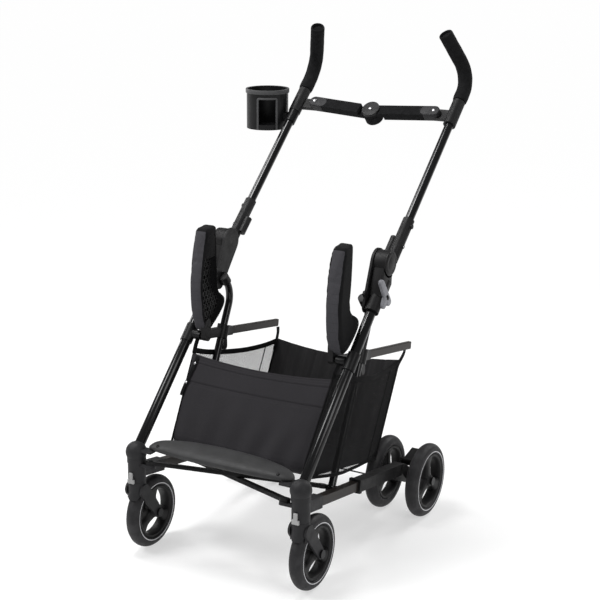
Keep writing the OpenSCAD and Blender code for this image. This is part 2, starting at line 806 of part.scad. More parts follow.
grip_end_t = 4;
grip_cup_l = 12;
grip_recess_r = 9;
grip_recess = 2;
grip_wall = grip_d / 2 - handle_r - fit;

module grip(side) {
    before = grip_corner - grip_start;
    after = grip_rise - grip_cup_l;
    color("#1b1b1b") on_bend(side, grip_start) {
        bent_pipe(before, after, grip_bend, grip_turn, grip_d / 2, grip_wall);
        at_pipe_end(before, after, grip_bend, grip_turn) difference() {
            cylinder(h = grip_cup_l + grip_end_t, r = grip_d / 2 - seam);
            translate([0, 0, -over]) cylinder(h = grip_cup_l + over, r = handle_r + fit + seam);
            translate([0, 0, grip_cup_l + grip_end_t - grip_recess]) cylinder(h = grip_end_t, r = grip_recess_r);
        }
    }
}

// Crossbar: places shapes at a pivot, with x along the bar and z across the handle plane
module at_crossbar(x, drop) {
    translate([x, 0, 0] + [0, on_handle(crossbar_reach - drop)[1], on_handle(crossbar_reach - drop)[2]])
        rotate([90 - handle_lean, 0, 0]) children();
}

bracket_l = 66;
bracket_ahead = 30;
lap_r = bar_h / 2;
pivot_pin_r = 4;
link_l = norm([crossbar_x, knob_drop]);
link_turn = atan2(knob_drop, crossbar_x);
lap_t = bar_t / 2 - gap / 2;
lap_start = 15;
knob_gap = 31;
knob_low_r = 21;
knob_low_t = 20;
knob_pin_r = 5;

module crossbar_bracket(side) {
    color("#2f2e30") placed(side) {
        difference() {
            union() {
                along_handle(crossbar_reach - bracket_ahead) cylinder(h = bracket_l, r = bracket_r);
                at_crossbar(crossbar_x, 0) translate([0, 0, -bar_t / 2]) {
                    cylinder(h = lap_t, r = lap_r);
                    translate([0, -bar_h / 2, 0]) cube([leg_x - crossbar_x, bar_h, lap_t]);
                }
            }
            along_handle(crossbar_reach - bracket_ahead - over)
                cylinder(h = bracket_l + 2 * over, r = handle_r + fit);
        }
        at_crossbar(crossbar_x, 0) translate([0, 0, -bar_t / 2]) cylinder(h = bar_t + over, r = pivot_pin_r);
    }
}

// One padded link, from its outer pivot at the origin towards -x
module link_body() {
    difference() {
        union() {
            translate([0, 0, gap / 2]) {
                cylinder(h = lap_t, r = lap_r);
                translate([-lap_start - over, -bar_h / 2, 0]) cube([lap_start + over, bar_h, lap_t]);
            }
            translate([-link_l + knob_gap, -bar_h / 2, -bar_t / 2])
                cube([link_l - knob_gap - lap_start, bar_h, bar_t]);
        }
        translate([0, 0, -bar_t]) cylinder(h = 2 * bar_t, r = pivot_pin_r + fit);
    }
}

module crossbar_link_right() {
    color("#242425") placed(right) at_crossbar(crossbar_x, 0) rotate([0, 0, link_turn]) difference() {
        union() {
            link_body();
            translate([-link_l, 0, gap / 2]) cylinder(h = lap_t + over, r = knob_r);
            translate([-link_l, -bar_h / 2, gap / 2]) cube([knob_gap + over, bar_h, lap_t]);
        }
        translate([-link_l, 0, -bar_t]) cylinder(h = 2 * bar_t, r = knob_pin_r + fit);
        translate([-link_l, 0, -bar_t]) cylinder(h = bar_t + gap / 2, r = knob_low_r + gap);
    }
}

module crossbar_link_left() {
    color("#242425") placed(left) at_crossbar(crossbar_x, 0) rotate([0, 0, link_turn]) {
        difference() {
            union() {
                link_body();
                translate([-link_l, -bar_h / 2, -bar_t / 2]) cube([knob_gap + over, bar_h, lap_t]);
            }
            translate([-link_l, 0, gap / 2 - gap]) cylinder(h = bar_t, r = knob_r + gap);
        }
        translate([-link_l, 0, -gap / 2 - knob_low_t]) cylinder(h = knob_low_t, r = knob_low_r);
        translate([-link_l, 0, -gap]) cylinder(h = bar_t / 2 + 2 * over, r = knob_pin_r);
    }
}

// Seat bar and its bracket
clamp_l = 40;
clamp_wall = 2.2;
seat_arm_w = 12;
seat_arm_h = 20;
ring_r = 13.5;
ring_l = 30;
seat_socket_l = 36;
seat_pocket = 20;
ring_fit = 0.15;
hook_r = 8;
hook_t = 5;
hook_drop = 36;
arm_eye_w = 12;

module seat_bar_bracket(side) {
    ring_start = strut_cross_at - ring_l / 2 * strut_dir;
    ring_stop = strut_cross_at + ring_l / 2 * strut_dir;
    hook_at = yz(strut_cross_at) - [0, hook_drop];
    color("#1a1a1b") placed(side) difference() {
        union() {
            along_leg(seat_reach - clamp_l / 2) cylinder(h = clamp_l, r = leg_r + clamp_wall);
            x_rod(arm_in, leg_x - leg_r - fit, arm_pivot, arm_pin_r);
            x_rod(seat_x - seat_arm_w / 2, leg_x - leg_r - fit, arm_pivot, seat_arm_h / 2);
            along_seat(0) bar_block(seat_arm_w, seat_arm_h, strut_cross + seat_socket_l);
            rod(ring_start, ring_stop, ring_r);
            side_plate(seat_x - hook_t / 2, seat_x + hook_t / 2)
                belt(hook_at + [hook_r, 0], hook_r, yz(strut_cross_at + strut_r * seat_dir), hook_r);
        }
        along_leg(seat_reach - clamp_l) cylinder(h = 2 * clamp_l, r = leg_r + fit);
        rod(ring_start - 3 * ring_l * strut_dir, ring_stop + ring_l * strut_dir, strut_r + ring_fit);
        along_seat(strut_cross + seat_socket_l - seat_pocket)
            bar_block(seat_bar_w + 2 * fit, seat_bar_h + 2 * fit, seat_pocket + over);
    }
}

module seat_bar(side) {
    start = strut_cross + seat_socket_l - seat_pocket;
    color("#2d2826") placed(side) along_seat(start + gap)
        bar_block(seat_bar_w, seat_bar_h, seat_bar_l - start - gap);
}

// Outline of a seat arm, in shares of its depth and height, from its lower front corner
arm_outline_shares = [[0.2, 0], [0.11, 0.06], [0.04, 0.16], [0.01, 0.3], [0, 0.45], [0.04, 0.6], [0.11, 0.77],
    [0.19, 0.9], [0.24, 0.965], [0.3, 0.985], [0.44, 0.995], [0.57, 1], [0.61, 0.985], [0.62, 0.95], [0.62, 0.8],
    [0.61, 0.62], [0.6, 0.48], [0.63, 0.4], [0.71, 0.335], [0.84, 0.285], [0.92, 0.245], [0.94, 0.205],
    [0.9, 0.165], [0.72, 0.09], [0.5, 0.025], [0.38, 0]];
arm_middle_share = [0.34, 0.36];
// Rings of the pad, as shares of the arm's width and of the outline's two sizes
arm_ring_shares = [[1, 0.5, 0.62], [1, 0.88, 0.93], [0.975, 0.965, 0.98], [0.92, 1, 1],
    [0.08, 1, 1], [0.025, 0.97, 0.985], [0, 0.9, 0.95], [0, 0.62, 0.82], [0.06, 0.58, 0.8], [0.55, 0.58, 0.8]];
arm_corner = arm_pivot + [-arm_ahead, arm_lift];

function arm_point(share, sy, sz) = let(m = arm_middle_share)
    arm_corner + [arm_depth * (m[0] + (share[0] - m[0]) * sy), arm_height * (m[1] + (share[1] - m[1]) * sz)];
function arm_ring(q) = [for (p = arm_outline_shares) let(a = arm_point(p, q[1], q[2]))
    [arm_in + arm_w * q[0], a[0], a[1]]];

stem_room = 1;
stem_w = 20;
stem_top = 40;

module arm_pad(side) {
    color("#3a393d") placed(side) difference() {
        skin([for (q = arm_ring_shares) arm_ring(q)]);
        translate([arm_in - over, arm_pivot[0] - stem_w / 2 - stem_room, arm_pivot[1]])
            cube([arm_eye_w + over + stem_room, stem_w + 2 * stem_room, stem_top]);
    }
}

lattice_t = 3;
lattice_share = 0.35;
lattice_shares = [0.55, 0.77];
lattice_pitch = 15;
lattice_hole_r = 5.6;
lattice_rows = 9;
lattice_columns = 3;

module arm_shell(side) {
    plate_in = arm_in + arm_w * lattice_share;
    color("#161616") placed(side) difference() {
        union() {
            side_plate(plate_in, plate_in + lattice_t)
                polygon([for (p = arm_outline_shares) arm_point(p, lattice_shares[0], lattice_shares[1])]);
            side_plate(arm_in, arm_in + arm_eye_w)
                belt(arm_pivot, stem_w / 2, arm_pivot + [0, stem_top - stem_w / 2 - stem_room], stem_w / 2);
        }
        x_rod(arm_in - over, arm_in + arm_w, arm_pivot, arm_pin_r + fit);
        for (row = [0:lattice_rows - 1], column = [0:lattice_columns - 1]) {
            shift = row % 2 == 0 ? 0 : lattice_pitch / 2;
            at = arm_pivot + [(column - 1) * lattice_pitch + shift - arm_ahead / 4, stem_top + (row + 1) * lattice_pitch];
            x_rod(plate_in - over, plate_in + lattice_t + over, at, lattice_hole_r, $fn = 6);
        }
    }
}

module fold_lever() {
    tip = lever_at + lever_l * [sin(lever_tip_turn), -cos(lever_tip_turn)] / 2;
    low = lever_at + lever_l * [sin(lever_low_turn), -cos(lever_low_turn)] / 2;
    top = lever_at - lever_l * [sin(lever_lean), -cos(lever_lean)] / 2;
    color("#7d7e84") placed(right) difference() {
        union() {
            side_plate(lever_in, lever_in + lever_t) belt(top, lever_lobe_r, lever_at, lever_r);
            side_plate(lever_in, lever_in + lever_t) belt(lever_at, lever_r, tip, lever_lobe_r);
            side_plate(lever_in, lever_in + lever_t) belt(lever_at, lever_r, low, lever_lobe_r);
        }
        x_rod(lever_in - over, lever_in + lever_t + over, lever_at, lever_pin_r + fit);
    }
}

// Cup holder with its clip on the left handle
cup_floor = 4;
rim_band_t = 1.6;
rim_band_h = 9;
window_w = 40;
window_h = 58;
window_lift = 12;
window_turn = 30;
clip_l = 30;
clip_back = 34;

module cup_holder() {
    clip_at = on_handle(crossbar_reach - bracket_ahead - gap - clip_l / 2);
    cup_rim_z = clip_at[2] + cup_rise;
    low = cup_rim_z - cup_h;
    color("#222224") placed(left) difference() {
        union() {
            translate([cup_x, clip_at[1], low]) cylinder(h = cup_h, r = cup_r - rim_band_t, $fn = 96);
            translate([cup_x, clip_at[1], cup_rim_z - rim_band_h]) cylinder(h = rim_band_h, r = cup_r, $fn = 96);
            along_handle(crossbar_reach - bracket_ahead - gap - clip_l) cylinder(h = clip_l, r = handle_r + cup_clip / 2);
            translate([leg_x + handle_r + gap, clip_at[1] - clip_back / 4, clip_at[2] - clip_l / 3])
                cube([cup_clip + cup_wall, clip_back / 2, clip_l * 2 / 3]);
        }
        translate([cup_x, clip_at[1], low + cup_floor]) cylinder(h = cup_h, r = cup_r - rim_band_t - cup_wall, $fn = 96);
        translate([cup_x, clip_at[1], low + window_lift]) rotate([0, 0, -window_turn])
            translate([-window_w / 2, -2 * cup_r, 0]) cube([window_w, 2 * cup_r, window_h]);
        along_handle(crossbar_reach - bracket_ahead - 2 * clip_l) cylinder(h = 3 * clip_l, r = handle_r + fit);
    }
}

// Footrest: a section carried along x inside a lens-shaped plan
footrest_section_shares = [[0.08, 0], [0, 0.2], [0.34, 1], [0.93, 1.1], [1, 0.85], [0.8, 0]];
front_bow_share = 0.3;
back_bow_share = 0.45;

module footrest() {
    front = hub_y - footrest_depth / 4;
    base = foot_tab_z + gap / 2;
    function bow_r(bow) = (footrest_l * footrest_l / 4 + bow * bow) / (2 * bow);
    front_bow_r = bow_r(footrest_depth * front_bow_share);
    back_bow_r = bow_r(footrest_depth * back_bow_share);
    color("#3f3f40") placed(right) intersection() {
        side_plate(-footrest_l / 2, footrest_l / 2)
            polygon([for (p = footrest_section_shares) [front + footrest_depth * p[0], base + footrest_h * p[1]]]);
        translate([0, front + front_bow_r, base - over]) cylinder(h = 2 * footrest_h, r = front_bow_r, $fn = 180);
        translate([0, front + footrest_depth - back_bow_r, base - over])
            cylinder(h = 2 * footrest_h, r = back_bow_r, $fn = 180);
    }
}

// Basket: two side panels, and one cloth for the front, floor and rear
front_corner_ahead = 20.8;
rear_corner_ahead = 14;
seat_end = seat_start + seat_bar_l * seat_dir;
basket_front_y = arm_pivot[0] - front_corner_ahead;
basket_front_z = arm_pivot[1] - basket_hang_front;
basket_rear_y = seat_end[1] - rear_corner_ahead;
basket_rear_z = seat_end[2] - basket_hang_rear;
basket_low_front_y = 16;
basket_low_rear_y = 352;
top_front_inset = 27;
top_rear_inset = 39;
low_front_inset = 39;
low_rear_inset = 40;
basket_top_front_x = leg_x - top_front_inset;
basket_top_rear_x = leg_x - top_rear_inset;
basket_low_front_x = leg_x - low_front_inset;
basket_low_rear_x = leg_x - low_rear_inset;
strut_clear = 0.65;
panel_over_strut = seat_x + strut_r + strut_clear;
front_top = [basket_front_y, basket_front_z];
rear_top = [basket_rear_y, basket_rear_z];
front_low = [basket_low_front_y, basket_low_front_z];
rear_low = [basket_low_rear_y, basket_low_rear_z];
// Share of an edge from front to rear at which the strut passes it
function passing_share(a, b) = let(e = b - a, f = yz(strut_foot) - a, d = yz(strut_dir))
    (f[0] * d[1] - f[1] * d[0]) / (e[0] * d[1] - e[1] * d[0]);
top_strut_share = passing_share(front_top, rear_top);
low_strut_share = passing_share(front_low, rear_low);
panel_steps = 20;
panel_rows = 8;
fold_depth = 2;
folds = 3;

function panel_x(u, v) = let(
    front = mix(basket_top_front_x, basket_low_front_x, v), rear = mix(basket_top_rear_x, basket_low_rear_x, v),
    at = mix(top_strut_share, low_strut_share, v),
    wave = fold_depth * sin(360 * folds * u) * ease(min(1, max(0, (u - at) * 3))) * (1 - u))
    (u < at ? mix(front, panel_over_strut, ease(u / at))
        : mix(panel_over_strut, rear, ease((u - at) / (1 - at)))) + wave;
function panel_point(u, v, t) = let(
    top = [mix(basket_front_y, basket_rear_y, u), mix(basket_front_z, basket_rear_z, u) - 4 * basket_sag * u * (1 - u)],
    low = [mix(basket_low_front_y, basket_low_rear_y, u), mix(basket_low_front_z, basket_low_rear_z, u)],
    p = mix(top, low, v)) [panel_x(u, v) + t, p[0], p[1]];
function panel_grid(t) = [for (j = [0:panel_rows]) [for (i = [0:panel_steps]) panel_point(i / panel_steps, j / panel_rows, t)]];

module basket_side(side) {
    color("#1c1c1e") placed(side) cloth(panel_grid(0), panel_grid(cloth_t));
}

front_sag = 13;
rear_sag = 9;
pleat_depth = 3;
pleats = 4;
cloth_steps = 24;
corner_share = 0.2;
corner_steps = 4;
wall_steps = 5;

function bend_at(a, c, b, t) = let(s = mix(c, a, corner_share), e = mix(c, b, corner_share))
    mix(mix(s, c, t), mix(c, e, t), t);
// Path of the cloth: place, half width, and how far it is up the front or the rear
cloth_path = concat(
    [for (k = [0:wall_steps - 1]) let(t = k / wall_steps * (1 - corner_share))
        [mix(front_top, front_low, t), mix(basket_top_front_x, basket_low_front_x, t), 1 - t, 0]],
    [for (k = [0:corner_steps]) [bend_at(front_top, front_low, rear_low, k / corner_steps), basket_low_front_x, 0, 0]],
    [for (k = [0:corner_steps]) [bend_at(front_low, rear_low, rear_top, k / corner_steps), basket_low_rear_x, 0, 0]],
    [for (k = [1:wall_steps]) let(t = corner_share + k / wall_steps * (1 - corner_share))
        [mix(rear_low, rear_top, t), mix(basket_low_rear_x, basket_top_rear_x, t), 0, t]]);
path_last = len(cloth_path) - 1;
function path_nor(j) = let(d = unit(cloth_path[min(path_last, j + 1)][0] - cloth_path[max(0, j - 1)][0])) [-d[1], d[0]];
function cloth_point(j, i, t) = let(
    q = cloth_path[j], share = 2 * i / cloth_steps - 1, bow = 1 - share * share,
    pleat = pleat_depth * q[3] * bow * cos(360 * pleats * share),
    p = q[0] + (t + pleat) * path_nor(j))
    [share * (q[1] - gap), p[0], p[1] - bow * (front_sag * pow(q[2], 3) + rear_sag * pow(q[3], 3))];
function cloth_grid(t) = [for (j = [0:path_last]) [for (i = [0:cloth_steps]) cloth_point(j, i, t)]];

module basket_cloth() {
    color("#323034") placed(right) cloth(cloth_grid(0), cloth_grid(cloth_t));
}

leg_tube(right);  // leg_tube_right
leg_tube(left);  // leg_tube_left
front_hub(right);  // front_hub_right
front_hub(left);  // front_hub_left
swivel_lock(right);  // swivel_lock_right
swivel_lock(left);  // swivel_lock_left
caster_fork(right);  // caster_fork_right
caster_fork(left);  // caster_fork_left
front_axle_bolt(right);  // front_axle_right
front_axle_bolt(left);  // front_axle_left
front_tyre(right);  // front_tyre_right
front_tyre(left);  // front_tyre_left
front_rim(right);  // front_rim_right
front_rim(left);  // front_rim_left
rail(right);  // rail_right
rail(left);  // rail_left
rear_housing(right);  // rear_housing_right
rear_housing(left);  // rear_housing_left
axle_and_pins(right);  // axle_and_pins_right
axle_and_pins(left);  // axle_and_pins_left
rear_tyre(right, outer);  // rear_tyre_right_outer
rear_tyre(right, inner);  // rear_tyre_right_inner
rear_tyre(left, outer);  // rear_tyre_left_outer
rear_tyre(left, inner);  // rear_tyre_left_inner
rear_rim(right, outer);  // rear_rim_right_outer
rear_rim(right, inner);  // rear_rim_right_inner
rear_rim(left, outer);  // rear_rim_left_outer
rear_rim(left, inner);  // rear_rim_left_inner
strut(right);  // strut_right
strut(left);  // strut_left
hinge_housing(right);  // hinge_housing_right
hinge_housing(left);  // hinge_housing_left
hinge_collar(right);  // hinge_collar_right
hinge_collar(left);  // hinge_collar_left
fold_lever();
seat_bar(right);  // seat_bar_right
seat_bar(left);  // seat_bar_left
seat_bar_bracket(right);  // seat_bar_bracket_right
seat_bar_bracket(left);  // seat_bar_bracket_left
arm_shell(right);  // arm_shell_right
arm_shell(left);  // arm_shell_left
arm_pad(right);  // arm_pad_right
arm_pad(left);  // arm_pad_left
handle_tube(right);  // handle_tube_right
handle_tube(left);  // handle_tube_left
grip(right);  // grip_right
grip(left);  // grip_left
crossbar_bracket(right);  // crossbar_bracket_right
crossbar_bracket(left);  // crossbar_bracket_left
crossbar_link_right();
crossbar_link_left();
cup_holder();
brace_bar(right);  // brace_bar_right
brace_bar(left);  // brace_bar_left
brake_pedal();
brake_cable();
footrest();
basket_side(right);  // basket_side_right
basket_side(left);  // basket_side_left
basket_cloth();
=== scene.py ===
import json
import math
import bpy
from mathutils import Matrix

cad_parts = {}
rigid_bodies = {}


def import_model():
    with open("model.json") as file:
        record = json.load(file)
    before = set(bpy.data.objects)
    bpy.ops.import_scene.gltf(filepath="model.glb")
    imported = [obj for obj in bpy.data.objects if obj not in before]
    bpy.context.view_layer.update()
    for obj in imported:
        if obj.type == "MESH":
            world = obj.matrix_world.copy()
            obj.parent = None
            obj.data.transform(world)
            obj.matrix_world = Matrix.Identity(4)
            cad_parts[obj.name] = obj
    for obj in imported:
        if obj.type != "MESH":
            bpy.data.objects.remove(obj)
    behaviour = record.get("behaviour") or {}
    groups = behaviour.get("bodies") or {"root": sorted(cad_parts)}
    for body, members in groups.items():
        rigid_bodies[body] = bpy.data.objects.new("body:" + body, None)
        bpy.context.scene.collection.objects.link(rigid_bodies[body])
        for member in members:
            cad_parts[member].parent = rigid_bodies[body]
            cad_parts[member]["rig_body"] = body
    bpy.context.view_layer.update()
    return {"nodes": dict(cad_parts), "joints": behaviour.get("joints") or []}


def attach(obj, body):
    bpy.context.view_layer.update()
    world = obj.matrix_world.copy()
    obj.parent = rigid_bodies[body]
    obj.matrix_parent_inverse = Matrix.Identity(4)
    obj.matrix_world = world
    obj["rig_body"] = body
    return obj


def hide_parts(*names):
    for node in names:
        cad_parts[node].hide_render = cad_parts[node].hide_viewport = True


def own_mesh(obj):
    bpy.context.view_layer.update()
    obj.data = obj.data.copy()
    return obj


bl_info = {
    "name": "Car seat stroller frame",
    "version": (1, 0, 0),
    "blender": (4, 5, 0),
    "location": "3D View > Sidebar > Stroller",
    "description": "Dresses the packed stroller frame with wheels, soft goods, finishes and a studio",
    "category": "Object",
}

import bmesh
import bpy
import numpy as np

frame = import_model()

MM = 0.001
SIDES = {"right": 1, "left": -1}
JOINTS = {joint["name"]: joint for joint in frame["joints"]}
# Height of the floor in the drawing, whose zero lies in the middle plane, under the front axle
FLOOR = 9.0
DRAWING_ZERO = np.array(
    [
        (JOINTS["right_swivel"]["pos_m"][0] + JOINTS["left_swivel"]["pos_m"][0]) / 2,
        JOINTS["right_front_roll"]["pos_m"][1],
        -FLOOR * MM,
    ]
)
X_AXIS = np.array([1.0, 0, 0])
Y_AXIS = np.array([0, 1.0, 0])
Z_AXIS = np.array([0, 0, 1.0])


def leaning(degrees):
    """Directions along a tube that leans back from upright, and square to it towards the front."""
    lean = math.radians(degrees)
    along = np.array([0, math.sin(lean), math.cos(lean)])
    return along, np.array([0, -along[2], along[1]])


def drawn(joint):
    """Place of a joint in the drawing, in millimetres."""
    return (np.array(JOINTS[joint]["pos_m"]) - DRAWING_ZERO) / MM


HANDLE_ALONG, HANDLE_UP = leaning(48)
LEG_ALONG, LEG_UP = leaning(45)
FOLD_PIVOT = drawn("handle_fold")
ARM_PIVOT = drawn("right_arm_tip")
# Distance of the handle's and the leg's axis from the fold pivot, square to the tube
AXIS_DROP = 24
# Middle of the front hub's ball, as (y, z), where the leg's axis starts
HUB_BALL = np.array([-46.0, 235.0])
LEG_TOP = FOLD_PIVOT - AXIS_DROP * LEG_UP
LEG_FOOT = LEG_TOP - math.dist(LEG_TOP[1:], HUB_BALL) * LEG_ALONG
# Handle's one bend: its angle, its turn towards the middle, its radius, and where the straight axes meet
HANDLE_TURN, HANDLE_TOE = math.radians(79), math.radians(17.5)
HANDLE_BEND, HANDLE_CORNER = 56.0, 527.0
HANDLE_CUT = HANDLE_BEND * math.tan(HANDLE_TURN / 2)


def on_handle(along):
    """Point of the right handle's straight axis, in millimetres from the fold pivot."""
    return FOLD_PIVOT + along * HANDLE_ALONG - AXIS_DROP * HANDLE_UP


def handle_path(start, stop, count):
    """Axis of the right handle from start to stop: straight, one bend, straight."""
    inward = -math.sin(HANDLE_TOE) * X_AXIS + math.cos(HANDLE_TOE) * HANDLE_UP
    s = np.linspace(start, stop, count)[:, None]
    before = HANDLE_CORNER - HANDLE_CUT
    a = np.clip((s - before) / HANDLE_BEND, 0, HANDLE_TURN)
    tail = np.maximum(s - before - HANDLE_BEND * HANDLE_TURN, 0)
    end = np.cos(HANDLE_TURN) * HANDLE_ALONG + np.sin(HANDLE_TURN) * inward
    straight = on_handle(0) + np.minimum(s, before) * HANDLE_ALONG
    return straight + HANDLE_BEND * (np.sin(a) * HANDLE_ALONG + (1 - np.cos(a)) * inward) + tail * end


# ---- Surfaces


def mix(a, b, t):
    """Value between a and b by the share t: a plus t times their difference."""
    return a + (b - a) * t


def ease(t):
    """Smooth step from 0 to 1: 3 t squared less 2 t cubed."""
    t = np.clip(t, 0, 1)
    return t * t * (3 - 2 * t)


def unit(v):
    """Vectors divided by their own length."""
    return v / np.linalg.norm(v, axis=-1, keepdims=True)


def spline(points, count, closed=False):
    """Catmull-Rom curve through the points, sampled at equal steps of arc length."""
    p = np.asarray(points, float)
    n = len(p)
    if closed:
        p = np.concatenate([p[-1:], p, p[:2]])
        spans = n
    else:
        p = np.concatenate([2 * p[:1] - p[1:2], p, 2 * p[-1:] - p[-2:-1]])
        spans = n - 1
    t = np.linspace(0, spans, spans * 24 + 1)
    i = np.minimum(t.astype(int), spans - 1)
    f = (t - i)[:, None]
    a, b, c, d = (p[i + k] for k in range(4))
    fine = 0.5 * (2 * b + (c - a) * f + (2 * a - 5 * b + 4 * c - d) * f**2 + (3 * b - a - 3 * c + d) * f**3)
    return even(fine, count, closed)


def run_length(line):
    """Length along a line of points, from 0 at its start: the sum of its steps."""
    return np.concatenate([[0], np.cumsum(np.linalg.norm(np.diff(line, axis=0), axis=1))])


def even(line, count, closed=False):
    """The same line sampled at equal steps of arc length."""
    steps = run_length(line)
    at = np.linspace(0, steps[-1], count + 1)[:-1] if closed else np.linspace(0, steps[-1], count)
    return np.stack([np.interp(at, steps, line[:, k]) for k in range(line.shape[1])], -1)


def oval(count, a, b, power=2.0):
    """Closed ring: |x/a|^power + |y/b|^power = 1, a rounded oblong where the power is high."""
    t = np.linspace(0, 2 * np.pi, count, endpoint=False)
    c, s = np.cos(t), np.sin(t)
    return np.stack([a * np.sign(c) * np.abs(c) ** (2 / power), b * np.sign(s) * np.abs(s) ** (2 / power)], -1)


def belt(c1, r1, c2, r2, count=24):
    """Outline of two discs and the straight sides that touch both."""

    def arc(centre, radius, turn):
        return centre + radius * np.stack([np.cos(turn), np.sin(turn)], -1)

    c1, c2 = np.array(c1, float), np.array(c2, float)
    d = c2 - c1
    base = math.atan2(d[1], d[0])
    reach = math.acos((r1 - r2) / math.hypot(*d))
    far = np.linspace(-reach, reach, count) + base
    near = np.linspace(reach, 2 * math.pi - reach, count) + base
    return np.concatenate([arc(c2, r2, far), arc(c1, r1, near)])


def inset(ring, depth):
    """Ring moved inwards along its own normals."""
    t = unit(np.roll(ring, -1, 0) - np.roll(ring, 1, 0))
    turn = np.sum(ring[:, 0] * np.roll(ring[:, 1], -1) - np.roll(ring[:, 0], -1) * ring[:, 1])
    out = np.stack([t[:, 1], -t[:, 0]], -1) * np.sign(turn)
    return ring - depth * out


def lathe(profile, origin, axis, hint, steps):
    """Rows are the profile's (along, radius) points, columns turn them round the axis."""
    axis = unit(np.asarray(axis, float))
    e1 = unit(np.cross(axis, hint))
    e2 = np.cross(axis, e1)
    t = np.linspace(0, 2 * np.pi, steps, endpoint=False)
    round_axis = np.cos(t)[:, None] * e1 + np.sin(t)[:, None] * e2
    profile = np.asarray(profile, float)
    return np.asarray(origin) + profile[:, None, :1] * axis + profile[:, None, 1:] * round_axis[None]


def sweep(path, ring, up, scale=None):
    """Rows carry the ring along the path, with its second axis kept towards up."""
    path = np.asarray(path, float)
    along = unit(np.gradient(path, axis=0))
    side = unit(np.cross(along, np.broadcast_to(up, path.shape)))
    lift = np.cross(side, along)
    scale = np.ones((len(path), 2)) if scale is None else np.asarray(scale, float)
    a = ring[None, :, :1] * scale[:, None, :1]
    b = ring[None, :, 1:] * scale[:, None, 1:]
    return path[:, None] + a * side[:, None] + b * lift[:, None]


def slab(outline, rows, origin, across, upward):
    """Rows are the outline moved in by an inset and raised by a height, in the plane of across and upward."""
    normal = np.cross(across, upward)
    rings = [inset(np.asarray(outline, float), depth) for depth, _ in rows]
    return np.stack(
        [np.asarray(origin) + r[:, :1] * across + r[:, 1:] * upward + h * normal for r, (_, h) in zip(rings, rows)]
    )


def soft_rows(thick, edge):
    """Insets and heights of a slab with quarter-round edges."""
    t = np.linspace(0, np.pi / 2, 5)
    low = [(edge * (1 - math.sin(a)), edge * (1 - math.cos(a))) for a in t]
    return low + [(d, thick - h) for d, h in reversed(low)]


def mirror(points, side):
    """Points of the right side, or the same mirrored to the left."""
    return points * np.array([SIDES[side], 1, 1])


# Points nearer to each other than this are one, in metres
SEAM_GAP = 1e-6
# Edges that bend more than this are rounded, in radians
EDGE_ANGLE = math.radians(32)


def grid_mesh(name, points, wrap=False, loop=False, caps=False, uv=None, sharp=None):
    """Mesh of a grid of drawing points in millimetres: wrap closes the columns, loop the rows, caps the ends."""
    rows, cols = points.shape[:2]
    r = np.arange(rows if loop else rows - 1)[:, None]
    c = np.arange(cols if wrap else cols - 1)[None, :]
    s, d = (r + 1) % rows, (c + 1) % cols
    quads = np.stack([r * cols + c, r * cols + d, s * cols + d, s * cols + c], -1).reshape(-1, 4)
    faces = quads.tolist()
    if caps:
        faces += [list(range(cols))[::-1], list(range((rows - 1) * cols, rows * cols))]
    mesh = bpy.data.meshes.new(name)
    mesh.from_pydata((points.reshape(-1, 3) * MM + DRAWING_ZERO).tolist(), [], faces)
    if uv is not None:
        layer = mesh.uv_layers.new(name="cut")
        corner = np.zeros(len(mesh.loops), int)
        mesh.loops.foreach_get("vertex_index", corner)
        layer.data.foreach_set("uv", uv.reshape(-1, 2)[corner].astype(np.float32).ravel())
    if wrap or loop or caps:
        tidy(mesh)
    mesh.shade_smooth()
    if sharp:
        mesh.set_sharp_from_angle(angle=math.radians(sharp))
    return mesh


def tidy(mesh):
    """Closes seams and poles and turns the faces outwards."""
    work = bmesh.new()
    work.from_mesh(mesh)
    bmesh.ops.remove_doubles(work, verts=work.verts, dist=SEAM_GAP)
    bmesh.ops.recalc_face_normals(work, faces=work.faces)
    work.to_mesh(mesh)
    work.free()


def joined(name, meshes, sharp):
    """One mesh of several, each left as its own shell."""
    work = bmesh.new()
    for mesh in meshes:
        work.from_mesh(mesh)
        bpy.data.meshes.remove(mesh)
    whole = bpy.data.meshes.new(name)
    work.to_mesh(whole)
    work.free()
    whole.shade_smooth()
    whole.set_sharp_from_angle(angle=math.radians(sharp))
    return whole


def piece(mesh, material, body, stands_for=()):
    """Puts a mesh in the scene on a body, with its finish."""
    made = bpy.data.objects.new(mesh.name, mesh)
    bpy.context.scene.collection.objects.link(made)
    mesh.materials.clear()
    mesh.materials.append(material)
    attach(made, body)
    if stands_for:
        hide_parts(*stands_for)
    return made


def capped(name, grid, material, body, stands_for=(), sharp=50, uv=None):
    """Closed piece: a grid with its columns wrapped and its ends capped."""
    mesh = grid_mesh(name, grid, wrap=True, caps=True, uv=uv, sharp=sharp)
    return piece(mesh, material, body, stands_for)


def eased(node, material, width, segments=2):
    """Copy of a hard piece with its edges rounded, which stands for it."""
    source = frame["nodes"][node]
    mesh = source.data.copy()
    mesh.name = node + "_eased"
    work = bmesh.new()
    work.from_mesh(mesh)
    bmesh.ops.remove_doubles(work, verts=work.verts, dist=2 * SEAM_GAP)
    bmesh.ops.dissolve_limit(
        work, angle_limit=math.radians(0.6), verts=work.verts, edges=work.edges, use_dissolve_boundaries=False
    )
    work.to_mesh(mesh)
    work.free()
    mesh.shade_smooth()
    mesh.set_sharp_from_angle(angle=EDGE_ANGLE)
    made = piece(mesh, material, source["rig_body"], [node])
    bevel = made.modifiers.new("Rounded edges", "BEVEL")
    bevel.width = width * MM
    bevel.segments = segments
    bevel.limit_method = "ANGLE"
    bevel.angle_limit = EDGE_ANGLE
    bevel.harden_normals = True
    return made


def applied(made):
    """Mesh of an object with its modifiers worked out."""
    bpy.context.view_layer.update()
    seen = made.evaluated_get(bpy.context.evaluated_depsgraph_get())
    return bpy.data.meshes.new_from_object(seen)


